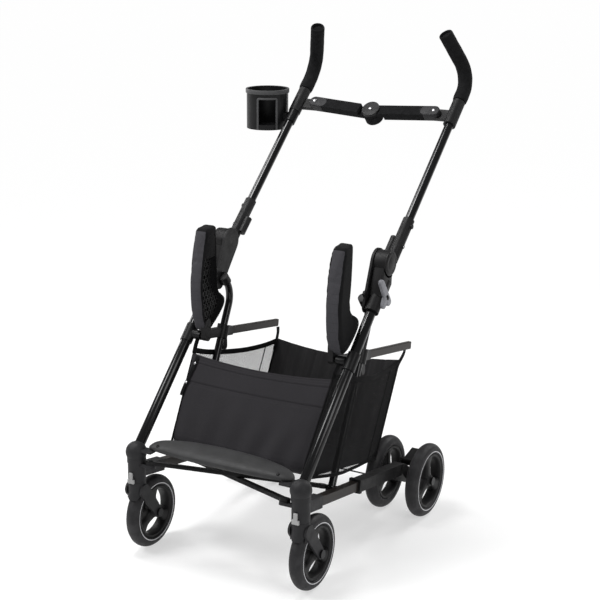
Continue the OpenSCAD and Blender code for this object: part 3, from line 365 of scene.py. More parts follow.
def coordinates(mesh):
    """Places of a mesh's points, in metres, as rows."""
    co = np.empty(len(mesh.vertices) * 3)
    mesh.vertices.foreach_get("co", co)
    return co.reshape(-1, 3)


def thicken(made, thick):
    """Gives a sheet its thickness, half to each side."""
    wall = made.modifiers.new("Thickness", "SOLIDIFY")
    wall.thickness = thick * MM
    wall.offset = 0


def flatten(made):
    """Gives a piece of cloth or thin plastic its own copy of its mesh."""
    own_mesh(made)


# ---- Finishes


def shaded(colour, share):
    """Colour made darker or paler by a share of itself."""
    return tuple(c * share for c in colour)


class Finish:
    """Builds one material: a shader and the textures that feed it."""

    def __init__(self, name, colour, rough, specular, metal=0.0, sheen=0.0):
        self.material = bpy.data.materials.new(name)
        self.material.use_nodes = True
        self.tree = self.material.node_tree
        self.shader = self.tree.nodes["Principled BSDF"]
        self.colour = tuple(colour)
        self.set("Roughness", rough)
        self.set("Specular IOR Level", specular)
        self.set("Metallic", metal)
        if sheen:
            self.set("Sheen Weight", sheen)
            self.set("Sheen Roughness", 0.6)
        self.coords = self.tree.nodes.new("ShaderNodeTexCoord")
        self.relief = None

    def set(self, socket, value):
        """Gives one of the shader's sockets a plain value."""
        self.shader.inputs[socket].default_value = value

    def link(self, a, b):
        """Feeds one socket from another."""
        self.tree.links.new(a, b)

    def node(self, kind, **settings):
        """New node of a kind, with its settings."""
        made = self.tree.nodes.new("ShaderNode" + kind)
        for key, value in settings.items():
            setattr(made, key, value)
        return made

    def noise(self, scale, detail, where="Object", stretch=None):
        """Cloudy value on the piece's own coordinates, stretched where asked."""
        made = self.node("TexNoise")
        made.inputs["Scale"].default_value = scale
        made.inputs["Detail"].default_value = detail
        source = self.coords.outputs[where]
        if stretch:
            mapping = self.node("Mapping")
            mapping.inputs["Scale"].default_value = stretch
            self.link(source, mapping.inputs["Vector"])
            source = mapping.outputs["Vector"]
        self.link(source, made.inputs["Vector"])
        return made.outputs["Fac"]

    def math(self, operation, a, b=None):
        """Result of an operation on one or two values, each a number or another node's result."""
        made = self.node("Math", operation=operation)
        for value, socket in zip((a, b), made.inputs):
            if value is None:
                continue
            if isinstance(value, (int, float)):
                socket.default_value = value
            else:
                self.link(value, socket)
        return made.outputs[0]

    def ramp(self, value, low, high, to_low=0.0, to_high=1.0):
        """Value that runs straight from one range to another and stays within it."""
        made = self.node("MapRange")
        for key, number in (("From Min", low), ("From Max", high), ("To Min", to_low), ("To Max", to_high)):
            made.inputs[key].default_value = number
        self.link(value, made.inputs["Value"])
        return made.outputs["Result"]

    def tint(self, value, first, second):
        """Colour between two, by a value from 0 to 1."""
        made = self.node("Mix", data_type="RGBA")
        self.link(value, made.inputs["Factor"])
        for socket, colour in ((made.inputs[6], first), (made.inputs[7], second)):
            if isinstance(colour, tuple):
                socket.default_value = (*colour, 1)
            else:
                self.link(colour, socket)
        return made.outputs[2]

    def mottle(self, scale, amount):
        """Colour that wanders a little lighter and darker."""
        value = self.ramp(self.noise(scale, 4.0), 0.3, 0.7)
        return self.tint(value, shaded(self.colour, 1 - amount), shaded(self.colour, 1 + amount))

    def worn(self, scale, low, high):
        """Roughness that wanders between two values."""
        self.link(self.ramp(self.noise(scale, 5.0), 0.3, 0.7, low, high), self.shader.inputs["Roughness"])

    def bump(self, value, strength, distance):
        """Relief from a height, laid over any relief before it."""
        made = self.node("Bump")
        made.inputs["Strength"].default_value = strength
        made.inputs["Distance"].default_value = distance
        self.link(value, made.inputs["Height"])
        if self.relief is not None:
            self.link(self.relief, made.inputs["Normal"])
        self.relief = made.outputs["Normal"]
        self.link(self.relief, self.shader.inputs["Normal"])

    def base(self, value):
        """Gives the shader its colour."""
        self.link(value, self.shader.inputs["Base Color"])

    def threads(self, pitch):
        """Height of a plain weave from the cut's own coordinates in metres: warp over weft in turn."""
        split = self.node("SeparateXYZ")
        self.link(self.coords.outputs["UV"], split.inputs[0])
        turn = 2 * math.pi / pitch
        u = self.math("SINE", self.math("MULTIPLY", split.outputs[0], turn))
        v = self.math("SINE", self.math("MULTIPLY", split.outputs[1], turn))
        return self.ramp(self.math("MULTIPLY", u, v), -1, 1)


def moulded(name, colour, rough=0.5, grain=900):
    """Moulded plastic with a fine spark-eroded grain."""
    made = Finish(name, colour, rough, 0.2)
    made.base(made.mottle(35, 0.12))
    made.worn(60, rough - 0.07, rough + 0.08)
    made.bump(made.noise(grain, 2.0), 0.2, 0.00012)
    return made.material


def gloss_paint(name, colour, rough=0.15, specular=0.34):
    """Paint on metal: smooth, with faint handling marks."""
    made = Finish(name, colour, rough, specular)
    made.base(made.mottle(18, 0.2))
    made.worn(7, rough - 0.02, rough + 0.02)
    return made.material


def foam_skin(name, colour):
    """Closed foam: tiny cells and a dry, dull face."""
    made = Finish(name, colour, 0.85, 0.08)
    cells = made.node("TexVoronoi")
    cells.inputs["Scale"].default_value = 700
    made.link(made.coords.outputs["Object"], cells.inputs["Vector"])
    made.base(made.mottle(120, 0.3))
    made.bump(cells.outputs["Distance"], 0.5, 0.0002)
    made.bump(made.noise(90, 3.0), 0.25, 0.0004)
    return made.material


def tyre_rubber(name, colour):
    """Foam rubber tyre with dust in its pores."""
    made = Finish(name, colour, 0.62, 0.3)
    dust = made.ramp(made.noise(45, 6.0), 0.45, 0.75)
    made.base(made.tint(dust, made.colour, tuple(c * 1.6 + 0.006 for c in made.colour)))
    made.worn(70, 0.5, 0.7)
    made.bump(made.noise(1100, 2.0), 0.35, 0.00012)
    return made.material


def brushed_metal(name, colour):
    """Turned steel: fine rings of scratches."""
    made = Finish(name, colour, 0.3, 0.5, metal=1.0)
    made.base(made.mottle(200, 0.15))
    made.worn(500, 0.22, 0.4)
    made.bump(made.noise(1500, 2.0, stretch=(1, 1, 0.1)), 0.2, 0.00005)
    return made.material


def woven(name, colour, pitch=0.0016, height=0.00022, rough=0.85, streak=0.22, sheen=0.02):
    """Plain weave: crossed threads, slubs along the warp and soft fading."""
    made = Finish(name, colour, rough, 0.1, sheen=sheen)
    weave = made.threads(pitch)
    slub = made.ramp(made.noise(160, 3.0, "UV", stretch=(1.0, 6.0, 1.0)), 0.3, 0.7)
    dark, pale = shaded(colour, 1 - streak), shaded(colour, 1 + streak)
    thread = made.tint(weave, shaded(colour, 0.72), made.tint(slub, dark, pale))
    fade = made.ramp(made.noise(9, 4.0), 0.3, 0.7)
    made.base(made.tint(fade, thread, made.tint(weave, dark, pale)))
    made.bump(weave, 0.55, height)
    made.bump(made.noise(55, 4.0), 0.25, 0.0008)
    return made.material


def net(name, colour, pitch=0.0022, solid=0.58):
    """Fine net: round holes in rows, with yarn between them."""
    made = Finish(name, colour, 0.85, 0.06)
    weave = made.threads(pitch)
    made.base(made.mottle(60, 0.2))
    level = 0.5 + (solid - 0.5) * 0.9
    closed = made.ramp(weave, level - 0.06, level + 0.06, 1.0, 0.0)
    made.link(closed, made.shader.inputs["Alpha"])
    made.bump(closed, 0.4, 0.0002)
    return made.material


def stitched_webbing(name, colour):
    """Narrow tape with ribs across it."""
    made = Finish(name, colour, 0.85, 0.08)
    ribs = made.node("TexWave", wave_type="BANDS", bands_direction="Y")
    ribs.inputs["Scale"].default_value = 160
    made.link(made.coords.outputs["UV"], ribs.inputs["Vector"])
    made.base(made.mottle(80, 0.25))
    made.bump(ribs.outputs["Fac"], 0.5, 0.0003)
    return made.material


# ---- Settings


def colour_setting(title, text, value):
    """Colour that a user can change."""
    return bpy.props.FloatVectorProperty(
        name=title, description=text, default=value, size=3, min=0, max=1, subtype="COLOR"
    )


def length_setting(title, text, value):
    """Length that a user can change, in metres."""
    return bpy.props.FloatProperty(name=title, description=text, default=value, min=0, unit="LENGTH")


class StrollerColours(bpy.types.PropertyGroup):
    """Colours of the stroller, as linear values."""

    paint: colour_setting("Paint", "Paint on tubes, duller on axles and cup holder", (0.006, 0.006, 0.0065))
    satin: colour_setting("Flat bars", "Satin paint on rails and seat bars", (0.0145, 0.0115, 0.0102))
    plastic: colour_setting("Brackets", "Moulded brackets and housings", (0.0082, 0.008, 0.0084))
    hub: colour_setting("Hubs", "Moulded front hubs and forks", (0.019, 0.0188, 0.0202))
    footrest: colour_setting("Footrest", "Moulded footrest", (0.034, 0.034, 0.0348))
    grey: colour_setting("Lever", "Grey fold lever", (0.21, 0.212, 0.23))
    tab: colour_setting("Lock tabs", "Pale lock tabs", (0.34, 0.34, 0.34))
    foam: colour_setting("Grips", "Foam of grips and crossbar", (0.0085, 0.0085, 0.009))
    tyre: colour_setting("Tyres", "Rubber of the tyres", (0.0135, 0.0131, 0.0145))
    ring: colour_setting("Ring line", "Pale line on the tyres", (0.56, 0.56, 0.58))
    rim: colour_setting("Cup rim", "Rim band and window frame of the cup holder", (0.06, 0.06, 0.062))
    steel: colour_setting("Screws", "Screws and press studs", (0.5, 0.5, 0.51))
    arm_front: colour_setting("Arm front", "Cloth on the front of the arms", (0.046, 0.045, 0.05))
    arm_side: colour_setting("Arm sides", "Cloth on the sides of the arms", (0.0055, 0.0055, 0.006))
    basket: colour_setting("Basket front", "Cloth of the basket's front", (0.0255, 0.0242, 0.027))
    lining: colour_setting("Basket rear", "Cloth of the basket's floor and rear", (0.021, 0.0205, 0.0215))
    net: colour_setting("Basket sides", "Net and tapes of the basket's sides", (0.0068, 0.0068, 0.0072))


class StrollerSizes(bpy.types.PropertyGroup):
    """Sizes that the dressing adds to the frame."""

    ring_width: length_setting("Ring line", "Width of the pale line on the tyres", 0.0021)
    edge: length_setting("Edge", "Rounding of moulded edges", 0.0011)
    hem: length_setting("Hem", "Width of the basket's bound edges", 0.0115)
    swell: length_setting("Swell", "Most that a padded arm swells", 0.005)


def length_of(name):
    """One of the settings' lengths, in millimetres."""
    return getattr(bpy.context.scene.stroller_sizes, name) / MM


FINISHES = {}


def finishes():
    """Every finish by name, made once from the colours."""
    if FINISHES:
        return FINISHES
    c = bpy.context.scene.stroller_colours
    FINISHES.update(
        paint=gloss_paint("tube_paint", c.paint),
        satin=gloss_paint("satin_bar", c.satin, 0.34, 0.18),
        plastic=moulded("bracket_plastic", c.plastic),
        hub=moulded("hub_plastic", c.hub, 0.55),
        footrest=moulded("footrest_plastic", c.footrest, 0.52, 1400),
        grey=moulded("lever_plastic", c.grey, 0.42),
        tab=moulded("tab_plastic", c.tab, 0.42),
        foam=foam_skin("grip_foam", c.foam),
        tyre=tyre_rubber("tyre_rubber", c.tyre),
        ring=moulded("ring_line", c.ring, 0.4),
        steel=brushed_metal("screw_steel", c.steel),
        rim=moulded("cup_rim_plastic", c.rim, 0.45),
        dark=gloss_paint("axle_black", c.paint, 0.36, 0.2),
        arm_side=woven("arm_side_cloth", c.arm_side, 0.0012),
        basket=woven("basket_front_cloth", c.basket),
        lining=woven("basket_lining_cloth", c.lining),
        net=net("basket_net", c.net),
        tape=stitched_webbing("edge_tape", c.net),
    )
    return FINISHES


# ---- Pieces


class STROLLER_OT_tubes(bpy.types.Operator):
    """Makes the tubes, fold hinges, lever and footrest, and rounds the edges of the bars and moulded brackets"""

    bl_idname = "stroller.tubes"
    bl_label = "Tubes and brackets"

    def execute(self, context):
        f = finishes()
        edge = length_of("edge")
        for side in SIDES:
            self.tubes(side, f["paint"])
            for node, finish, slot, width in (
                ("strut", "paint", "gloss_black", 0.3),
                ("axle_and_pins", "dark", "steel", 0.3),
                ("front_axle", "dark", "steel", 0.3),
                ("rail", "satin", "brown_black", 1.6),
                ("seat_bar", "satin", "brown_black", 2.0),
                ("brace_bar", "plastic", "gloss_black", edge),
                ("front_hub", "hub", "hub_plastic", edge),
                ("caster_fork", "hub", "hub_plastic", edge),
                ("rear_housing", "plastic", "black_plastic", edge),
                ("hinge_housing", "plastic", "black_plastic", edge),
                ("hinge_collar", "plastic", "black_plastic", edge),
                ("crossbar_bracket", "plastic", "black_plastic", edge),
                ("seat_bar_bracket", "dark", "black_plastic", edge),
                ("arm_shell", "plastic", "black_plastic", 0.5),
                ("swivel_lock", "tab", "grey_plastic", edge),
            ):
                eased(f"{node}_{side}", f[finish], width)
            self.hinge(side, f["plastic"])
        self.lever(f["grey"])
        flatten(self.footrest(f["footrest"]))
        eased("brake_pedal", f["plastic"], edge)
        eased("cup_holder", f["dark"], 0.7)
        for side in SIDES:
            eased(f"crossbar_link_{side}", f["foam"], 3.5, segments=3)
            self.link_end(side, f["hub"])
        flatten(eased("brake_cable", f["plastic"], 0.2))
        return {"FINISHED"}

    def tubes(self, side, material):
        """Leg, a ring turned about the leg's axis, and handle, a ring carried along the handle's bent axis."""
        wall = np.array([[11, 9.4], [11, 10.7], [11.4, 11], [478.6, 11], [479, 10.7], [479, 9.4]])
        leg = mirror(lathe(wall, LEG_FOOT, LEG_ALONG, X_AXIS, 64), side)
        capped(f"leg_paint_{side}", leg, material, f"{side}_frame", [f"leg_tube_{side}"])
        ring = oval(64, 9.5, 9.5)
        handle = mirror(sweep(handle_path(36, 560, 160), ring, X_AXIS + 0.3 * HANDLE_UP), side)
        capped(f"handle_paint_{side}", handle, material, f"{side}_handle", [f"handle_tube_{side}"])

    def hinge(self, side, material):
        """Round head turned about the pivot, and a cheek between an arc round the head and the leg's sleeve."""
        head = np.array(
            [[-9, 20], [-9, 26.4], [11.5, 26.4], [13.4, 25.9], [15.2, 24.6], [16.3, 22.6], [16.7, 20.8],
             [16.2, 20.2], [16.2, 19.4], [16.9, 18.6], [17.4, 0.01]]
        )
        profile = np.concatenate([head[:3], spline(head[2:7], 16)[1:], head[7:]])
        grid = lathe(profile, FOLD_PIVOT, X_AXIS, Z_AXIS, 96)
        capped(f"hinge_head_{side}", mirror(grid, side), material, f"{side}_handle")
        turn = np.linspace(math.radians(145), math.radians(248), 24)
        arc = 26.9 * np.stack([np.cos(turn), np.sin(turn)], -1)
        arc = arc[arc[:, 0] < -8]
        foot = np.array([[-27, -39], [-72, -38.6], [-74, -36], [-74, -12], [-72, -9.4], [-46, 4.6]])
        outline = even(np.concatenate([arc, foot, arc[:1]]), 140, closed=True)
        grid = slab(outline, soft_rows(27.0, 3.0), FOLD_PIVOT - 13.2 * X_AXIS, LEG_ALONG, LEG_UP)
        capped(f"hinge_cheek_{side}", mirror(grid, side), material, f"{side}_frame")

    def link_end(self, side, material):
        """Moulded end over a link's eye: the outline of two equal discs, with rounded edges."""
        eye, radius, thick = drawn("width_fold"), 13.5, 21.4
        along = unit(drawn("knob_turn") - eye)
        outline = even(belt((0, 0), radius, (19, 0), radius), 90, closed=True)
        grid = slab(outline, soft_rows(thick, 2.4), eye - thick / 2 * HANDLE_UP, along, np.cross(HANDLE_UP, along))
        capped(f"crossbar_end_{side}", mirror(grid, side), material, f"{side}_link")

    def lever(self, material):
        """Three-lobed paddle: a bar between two discs and a shorter one beside it, with rounded edges."""
        knee, face, rows = drawn("lever_pull")[1:], 208.6 * X_AXIS, soft_rows(9.5, 2.8)
        top, tip, low, root = (knee + np.array(v, float) for v in ((-22, 36), (8, -10), (-13, -13), (-4, 3)))
        parts = []
        for a, ra, b, rb in ((top, 7.2, tip, 9.0), (root, 7.5, low, 7.0)):
            outline = even(belt(a, ra, b, rb), 90, closed=True)
            parts.append(grid_mesh("lobe", slab(outline, rows, face, Y_AXIS, Z_AXIS), wrap=True, caps=True))
        piece(joined("lever_paddle", parts, 50), material, "lever", ["fold_lever"])

    def footrest(self, material):
        """Plate along X whose depth and height follow a power of the distance from its middle to its blunt tips."""
        share = np.sin(np.linspace(-0.5 * np.pi, 0.5 * np.pi, 90))
        taper = np.maximum(1 - np.abs(share) ** 2.4, 0) ** 0.75
        tip = np.maximum(1 - np.abs(share) ** 24, 0.0004) ** 0.5
        depth, height = (20 + 40 * taper) * tip, (7 + 14 * taper) * tip
        turn = np.linspace(0, 2 * np.pi, 56, endpoint=False)
        c, d = np.cos(turn), np.sin(turn)
        across = np.sign(c) * np.abs(c) ** 0.62
        upward = np.sign(d) * np.abs(d) ** 0.8
        y = -31 + 0.5 * depth[:, None] * across
        z = 245.5 + 0.5 * height[:, None] * (1 + upward) + 0.08 * depth[:, None] * across
        x = 171.5 * share[:, None] + 0 * turn
        grid = np.stack([x, y, z], -1)
        return capped("footrest_plate", grid, material, "right_frame", ["footrest"], sharp=60)


def mirrored(profile):
    """Other half of a profile that is the same on both sides of its middle."""
    return profile[::-1] * [-1, 1]


class STROLLER_OT_wheels(bpy.types.Operator):
    """Makes the six wheels: tyres with a pale line, dished rims with broad spokes, and hub caps"""

    bl_idname = "stroller.wheels"
    bl_label = "Wheels"

    def execute(self, context):
        for side in SIDES:
            for which in ("front", "outer", "inner"):
                self.wheel(side, which)
        return {"FINISHED"}

    def wheel(self, side, which):
        """Tyre, ring lines, barrel and hub turned about the axle, and three spokes between hub and barrel."""
        f = finishes()
        name = f"{side}_{which}"
        body = f"{name}_wheel"
        outward = SIDES[side]
        if which == "front":
            tyre, rim, faces = f"front_tyre_{side}", f"front_rim_{side}", (1, -1)
        else:
            tyre, rim = f"rear_tyre_{name}", f"rear_rim_{name}"
            faces = (outward,) if which == "outer" else (-outward,)
        centre = drawn(f"{name}_roll")
        reach = centre[2] - FLOOR
        half, seat = 15, reach - 21

        def turned(profile, steps=112):
            return lathe(profile, centre, X_AXIS, Z_AXIS, steps)

        t = np.linspace(-0.5 * np.pi, 0.5 * np.pi, 25)
        crown = np.stack([half * np.sin(t), reach - half + half * np.cos(t) ** 0.9], -1)
        flank = np.array([[-14.8, seat + 4.6], [-14.2, seat + 2.6], [-12.8, seat + 1.0], [-10.5, seat]])
        profile = np.concatenate([flank[::-1], crown, flank * [-1, 1]])
        groove = 0.7 * np.exp(-(((np.abs(profile[:, 0]) - 9.5) / 0.9) ** 2)) * (profile[:, 1] > reach - half)
        profile[:, 1] -= groove
        piece(grid_mesh(f"tyre_{name}", turned(profile), wrap=True, loop=True), f["tyre"], body, [tyre])
        line = oval(12, 0.5, length_of("ring_width") / 2)
        for sign in faces:
            grid = turned(line + np.array([sign * 14.65, seat + 4.8]))
            mesh = grid_mesh(f"ring_line_{name}_{'out' if sign > 0 else 'in'}", grid, wrap=True, loop=True)
            piece(mesh, f["ring"], body)
        barrel = np.array(
            [[-11.5, seat - 0.3], [-12.6, seat - 1.2], [-12.8, seat - 3.5], [-11.4, seat - 6.5], [-4, seat - 8.2]]
        )
        barrel = np.concatenate([barrel, mirrored(barrel)])
        parts = [grid_mesh("barrel", turned(spline(barrel, 40)), wrap=True, loop=True)]
        hub = np.array([[-15.6, 0.01], [-15.4, 5.5], [-14.6, 9.2], [-12.6, 12.6], [-9, 14.2]])
        hub = np.concatenate([hub, mirrored(hub)])
        parts.append(grid_mesh("hub", turned(hub, 48), wrap=True, caps=True))
        out = np.linspace(8, seat - 6.5, 22)
        share = (out - out[0]) / (out[-1] - out[0])
        broad = 13.2 - 3.4 * ease(share / 0.45) + 6.5 * ease((share - 0.55) / 0.45)
        thick = 11.6 - 1.6 * np.sin(np.pi * share)
        size = np.stack([broad, thick], -1)
        for degrees in (90, 210, 330):
            turn = math.radians(degrees)
            path = centre + out[:, None] * np.array([0, math.cos(turn), math.sin(turn)])
            grid = sweep(path, oval(20, 1, 1, 3.4), X_AXIS, size)
            parts.append(grid_mesh("spoke", grid, wrap=True, caps=True))
        piece(joined(f"rim_{name}", parts, 38), f["plastic"], body, [rim])


class STROLLER_OT_grips(bpy.types.Operator):
    """Makes the bent foam grips with their rounded, recessed ends"""

    bl_idname = "stroller.grips"
    bl_label = "Grips"

    def execute(self, context):
        f = finishes()
        start, tail, count = 456.0, 120.0, 90
        stop = HANDLE_CORNER - 2 * HANDLE_CUT + HANDLE_BEND * HANDLE_TURN + tail
        path = handle_path(start, stop, count)
        s = np.linspace(start, stop, count)
        radius = 16.0 - 1.6 * np.exp(-(s - start) / 2.2) - 1.0 * np.exp(-(stop - s) / 1.2)
        radius += 0.12 * np.sin(s / 9.0) + 0.1 * np.sin(s / 3.7)
        up = np.array([1.0, 0.2, 0.1])
        foam = sweep(path, oval(40, 1, 1), up, np.stack([radius, radius], -1))
        along = unit(path[-1] - path[-2])
        rim = (foam[-1] - path[-1]) / radius[-1]
        recess = ((14.4, 0.7), (12.6, 0.5), (11.8, -0.8), (11.4, -5.0), (5, -5.4))
        cup = np.stack([path[-1] + rim * r + along * h for r, h in recess])
        foot = path[0] + (foam[:1] - path[0]) * 0.78
        grid = np.concatenate([foot, foam, cup])
        for side in SIDES:
            name, body = f"grip_foam_{side}", f"{side}_handle"
            made = capped(name, mirror(grid, side), f["foam"], body, [f"grip_{side}"])
        return {"FINISHED"}


# Arm outline in shares of its depth and height, and the middle that its rings shrink towards
ARM_OUTLINE = np.array(
    [[0.2, 0], [0.11, 0.06], [0.04, 0.16], [0.01, 0.3], [0, 0.45], [0.04, 0.6], [0.11, 0.77], [0.19, 0.9],
     [0.24, 0.965], [0.3, 0.985], [0.44, 0.995], [0.57, 1], [0.61, 0.985], [0.62, 0.95], [0.62, 0.8],
     [0.61, 0.62], [0.6, 0.48], [0.63, 0.4], [0.71, 0.335], [0.84, 0.285], [0.92, 0.245], [0.94, 0.205],
     [0.9, 0.165], [0.72, 0.09], [0.5, 0.025], [0.38, 0]]
)
ARM_MIDDLE = np.array([0.34, 0.36])
# Depth and height of the arm, its lower front corner as (y, z), its inner face and its width
ARM_SIZE = np.array([104.0, 225.0])
ARM_CORNER = ARM_PIVOT[1:] + np.array([-25.0, 12.0])
ARM_IN, ARM_WIDTH = 146.4, 28.4
# Rings of the cover from its outer face round to the pocket's floor: share of the width, shrink in depth and height
ARM_RINGS = (
    (1, 0.1, 0.14), (1, 0.5, 0.62), (1, 0.88, 0.93), (0.99, 0.955, 0.972), (0.96, 0.985, 0.99), (0.9, 0.99, 0.994),
    (0.5, 0.99, 0.994), (0.1, 0.99, 0.994), (0.04, 0.985, 0.99), (0.01, 0.955, 0.972), (0.0, 0.88, 0.93),
    (0.0, 0.8, 0.89), (0.05, 0.76, 0.87), (0.3, 0.74, 0.86), (0.45, 0.74, 0.86), (0.45, 0.1, 0.14),
)
# Share of the height above which cloth closes the pocket
ARM_FLAP = 0.7
# Points of the outline that the cover's marks are measured from
OUTLINE_POINTS = 192


def arm_ring(outline, share, sy, sz):
    """Ring of the arm at a share of its width, shrunk towards its middle."""
    flat = ARM_CORNER + ARM_SIZE * (ARM_MIDDLE + (outline - ARM_MIDDLE) * [sy, sz])
    return np.concatenate([np.full((len(flat), 1), ARM_IN + ARM_WIDTH * share), flat], 1)


def arm_shares(points):
    """Share of the arm's width, and shares of its depth and height, at points in metres."""
    flat = (points - DRAWING_ZERO) / MM
    return (flat[:, 0] - ARM_IN) / ARM_WIDTH, (flat[:, 1:] - ARM_CORNER) / ARM_SIZE


class STROLLER_OT_arms(bpy.types.Operator):
    """Makes the padded car seat arms: a stuffed cover with a pocket, a charcoal front and black sides"""

    bl_idname = "stroller.arms"
    bl_label = "Seat arms"

    def execute(self, context):
        f = finishes()
        outline = spline(ARM_OUTLINE, 96, closed=True)
        grid = np.stack([arm_ring(outline, *ring) for ring in ARM_RINGS])
        shape = self.stuffed(grid_mesh("arm_form", grid, wrap=True, caps=True), context)
        cover = self.cover()
        for side in SIDES:
            mesh = shape.copy()
            mesh.name = f"arm_cover_{side}"
            if side == "left":
                co = coordinates(mesh)
                co[:, 0] = 2 * DRAWING_ZERO[0] - co[:, 0]
                mesh.vertices.foreach_set("co", co.ravel())
                tidy(mesh)
            mesh.shade_smooth()
            made = piece(mesh, cover, f"{side}_arm", [f"arm_pad_{side}"])
            smooth = made.modifiers.new("Cloth", "SUBSURF")
            smooth.levels = smooth.render_levels = 1
            made = piece(self.flap(side), f["arm_side"], f"{side}_arm")
            thicken(made, 1.0)
            piece(self.honeycomb(side), f["plastic"], f"{side}_arm")
        bpy.data.meshes.remove(shape)
        return {"FINISHED"}

    def honeycomb(self, side):
        """Six-sided rings on a staggered lattice, kept where a line from their middles crosses the pocket's edge
        an odd number of times, which lie inside it."""
        pitch, outer, inner = 10.4, 6.05, 4.9
        row, col = np.meshgrid(np.arange(-24, 25), np.arange(-8, 9), indexing="ij")
        middle = np.stack([(col + 0.5 * (row % 2)) * pitch, row * pitch * 0.866], -1).reshape(-1, 2)
        hole = ARM_SIZE * (spline(ARM_OUTLINE, 120, closed=True) - ARM_MIDDLE) * [0.68, 0.82]
        a, b = hole[None], np.roll(hole, -1, 0)[None]
        m = middle[:, None]
        crosses = (a[..., 1] > m[..., 1]) != (b[..., 1] > m[..., 1])
        rise = np.where(b[..., 1] == a[..., 1], 1e-9, b[..., 1] - a[..., 1])
        at = a[..., 0] + (m[..., 1] - a[..., 1]) * (b[..., 0] - a[..., 0]) / rise
        inside = (crosses & (m[..., 0] < at)).sum(1) % 2 == 1
        middle = middle[inside & (middle[:, 1] < ARM_SIZE[1] * (ARM_FLAP - ARM_MIDDLE[1]))]
        turn = np.radians(np.arange(6) * 60 + 30)
        ray = np.stack([np.cos(turn), np.sin(turn)], -1)
        lattice = ARM_IN + ARM_WIDTH * 0.36
        rows = [(outer, lattice), (outer, lattice - 1.8), (inner, lattice - 1.8), (inner, lattice)]
        place = ARM_CORNER + ARM_SIZE * ARM_MIDDLE
        ring = np.stack([np.concatenate([np.full((6, 1), x), place + r * ray], 1) for r, x in rows])
        cells = ring[None] + np.concatenate([np.zeros((len(middle), 1)), middle], 1)[:, None, None]
        parts = [grid_mesh("cell", mirror(cell, side), wrap=True, loop=True) for cell in cells]
        return joined(f"arm_honeycomb_{side}", parts, 30)

    def flap(self, side):
        """Cloth across the pocket's top, from front edge to rear edge of the outline, bulged by a sine each way."""
        up, across = np.meshgrid(np.linspace(0, 1, 24), np.linspace(0, 1, 24), indexing="ij")
        share = mix(ARM_FLAP, 0.93, up)
        front = np.interp(share, ARM_OUTLINE[4:12, 1], ARM_OUTLINE[4:12, 0]) + 0.04
        flat = ARM_CORNER + ARM_SIZE * np.stack([mix(front, 0.585, across), share], -1)
        x = ARM_IN + 2.6 - 1.8 * np.sin(np.pi * across) * np.sin(np.pi * np.clip(up * 0.9 + 0.1, 0, 1)) ** 0.5
        grid = np.concatenate([x[..., None], flat], -1)
        uv = np.stack([across * 0.04, up * 0.05], -1)
        return grid_mesh(f"arm_flap_{side}", mirror(grid, side), uv=uv)

    def stuffed(self, mesh, context):
        """Remeshed form, swollen by cloth pressure and held within the swell, with its front marked."""
        form = bpy.data.objects.new("arm_form", mesh)
        context.scene.collection.objects.link(form)
        remesh = form.modifiers.new("Remesh", "REMESH")
        remesh.mode = "VOXEL"
        remesh.voxel_size = 0.0036
        mesh = applied(form)
        rest = coordinates(mesh)
        form.modifiers.clear()
        form.data = mesh
        cloth = form.modifiers.new("Cloth", "CLOTH")
        cloth.settings.use_pressure = True
        cloth.settings.uniform_pressure_force = 4
        cloth.settings.effector_weights.gravity = 0
        cloth.settings.tension_stiffness = 25
        cloth.settings.quality = 5
        settled = 20
        for number in range(1, settled + 1):
            context.scene.frame_set(number)
        mesh = applied(form)
        context.scene.frame_set(1)
        moved = coordinates(mesh) - rest
        far = np.linalg.norm(moved, axis=1, keepdims=True)
        moved *= np.minimum(1, length_of("swell") * MM / np.maximum(far, 1e-9))
        moved *= self.pocket(rest)[:, None]
        mesh.vertices.foreach_set("co", (rest + moved).ravel())
        bpy.data.objects.remove(form)
        self.mark(mesh, rest)
        return mesh

    def pocket(self, rest):
        """0 for points that line the pocket, 1 for the rest, by the outline's scale and the share of the width."""
        share, place = arm_shares(rest)
        away = place - ARM_MIDDLE
        hole = spline(ARM_OUTLINE, OUTLINE_POINTS, closed=True) - ARM_MIDDLE
        turn = np.arctan2(hole[:, 1], hole[:, 0])
        order = np.argsort(turn)
        facing = np.arctan2(away[:, 1], away[:, 0])
        reach = np.interp(facing, turn[order], np.hypot(*hole[order].T), period=2 * np.pi)
        inside = np.hypot(*away.T) < 0.84 * reach
        return 1.0 - (inside & (share > 0.02) & (share < 0.55))

    def mark(self, mesh, rest):
        """Marks the front strip: near the outline, between the two side faces, and ahead of the middle."""
        share, place = arm_shares(rest)
        outline = spline(ARM_OUTLINE, OUTLINE_POINTS, closed=True)
        away = (outline[None] - place[:, None]) * ARM_SIZE
        near = np.argmin((away**2).sum(-1), 1)
        gap = np.sqrt((away[np.arange(len(near)), near] ** 2).sum(-1))
        ahead = near < OUTLINE_POINTS * 0.335
        within = np.clip((share - 0.06) / 0.05, 0, 1) * np.clip((0.9 - share) / 0.05, 0, 1)
        front = ahead * np.clip((mix(3.2, 8.0, within) - gap) / 2, 0, 1)
        layer = mesh.attributes.new("front", "FLOAT", "POINT")
        layer.data.foreach_set("value", front.astype(np.float32))

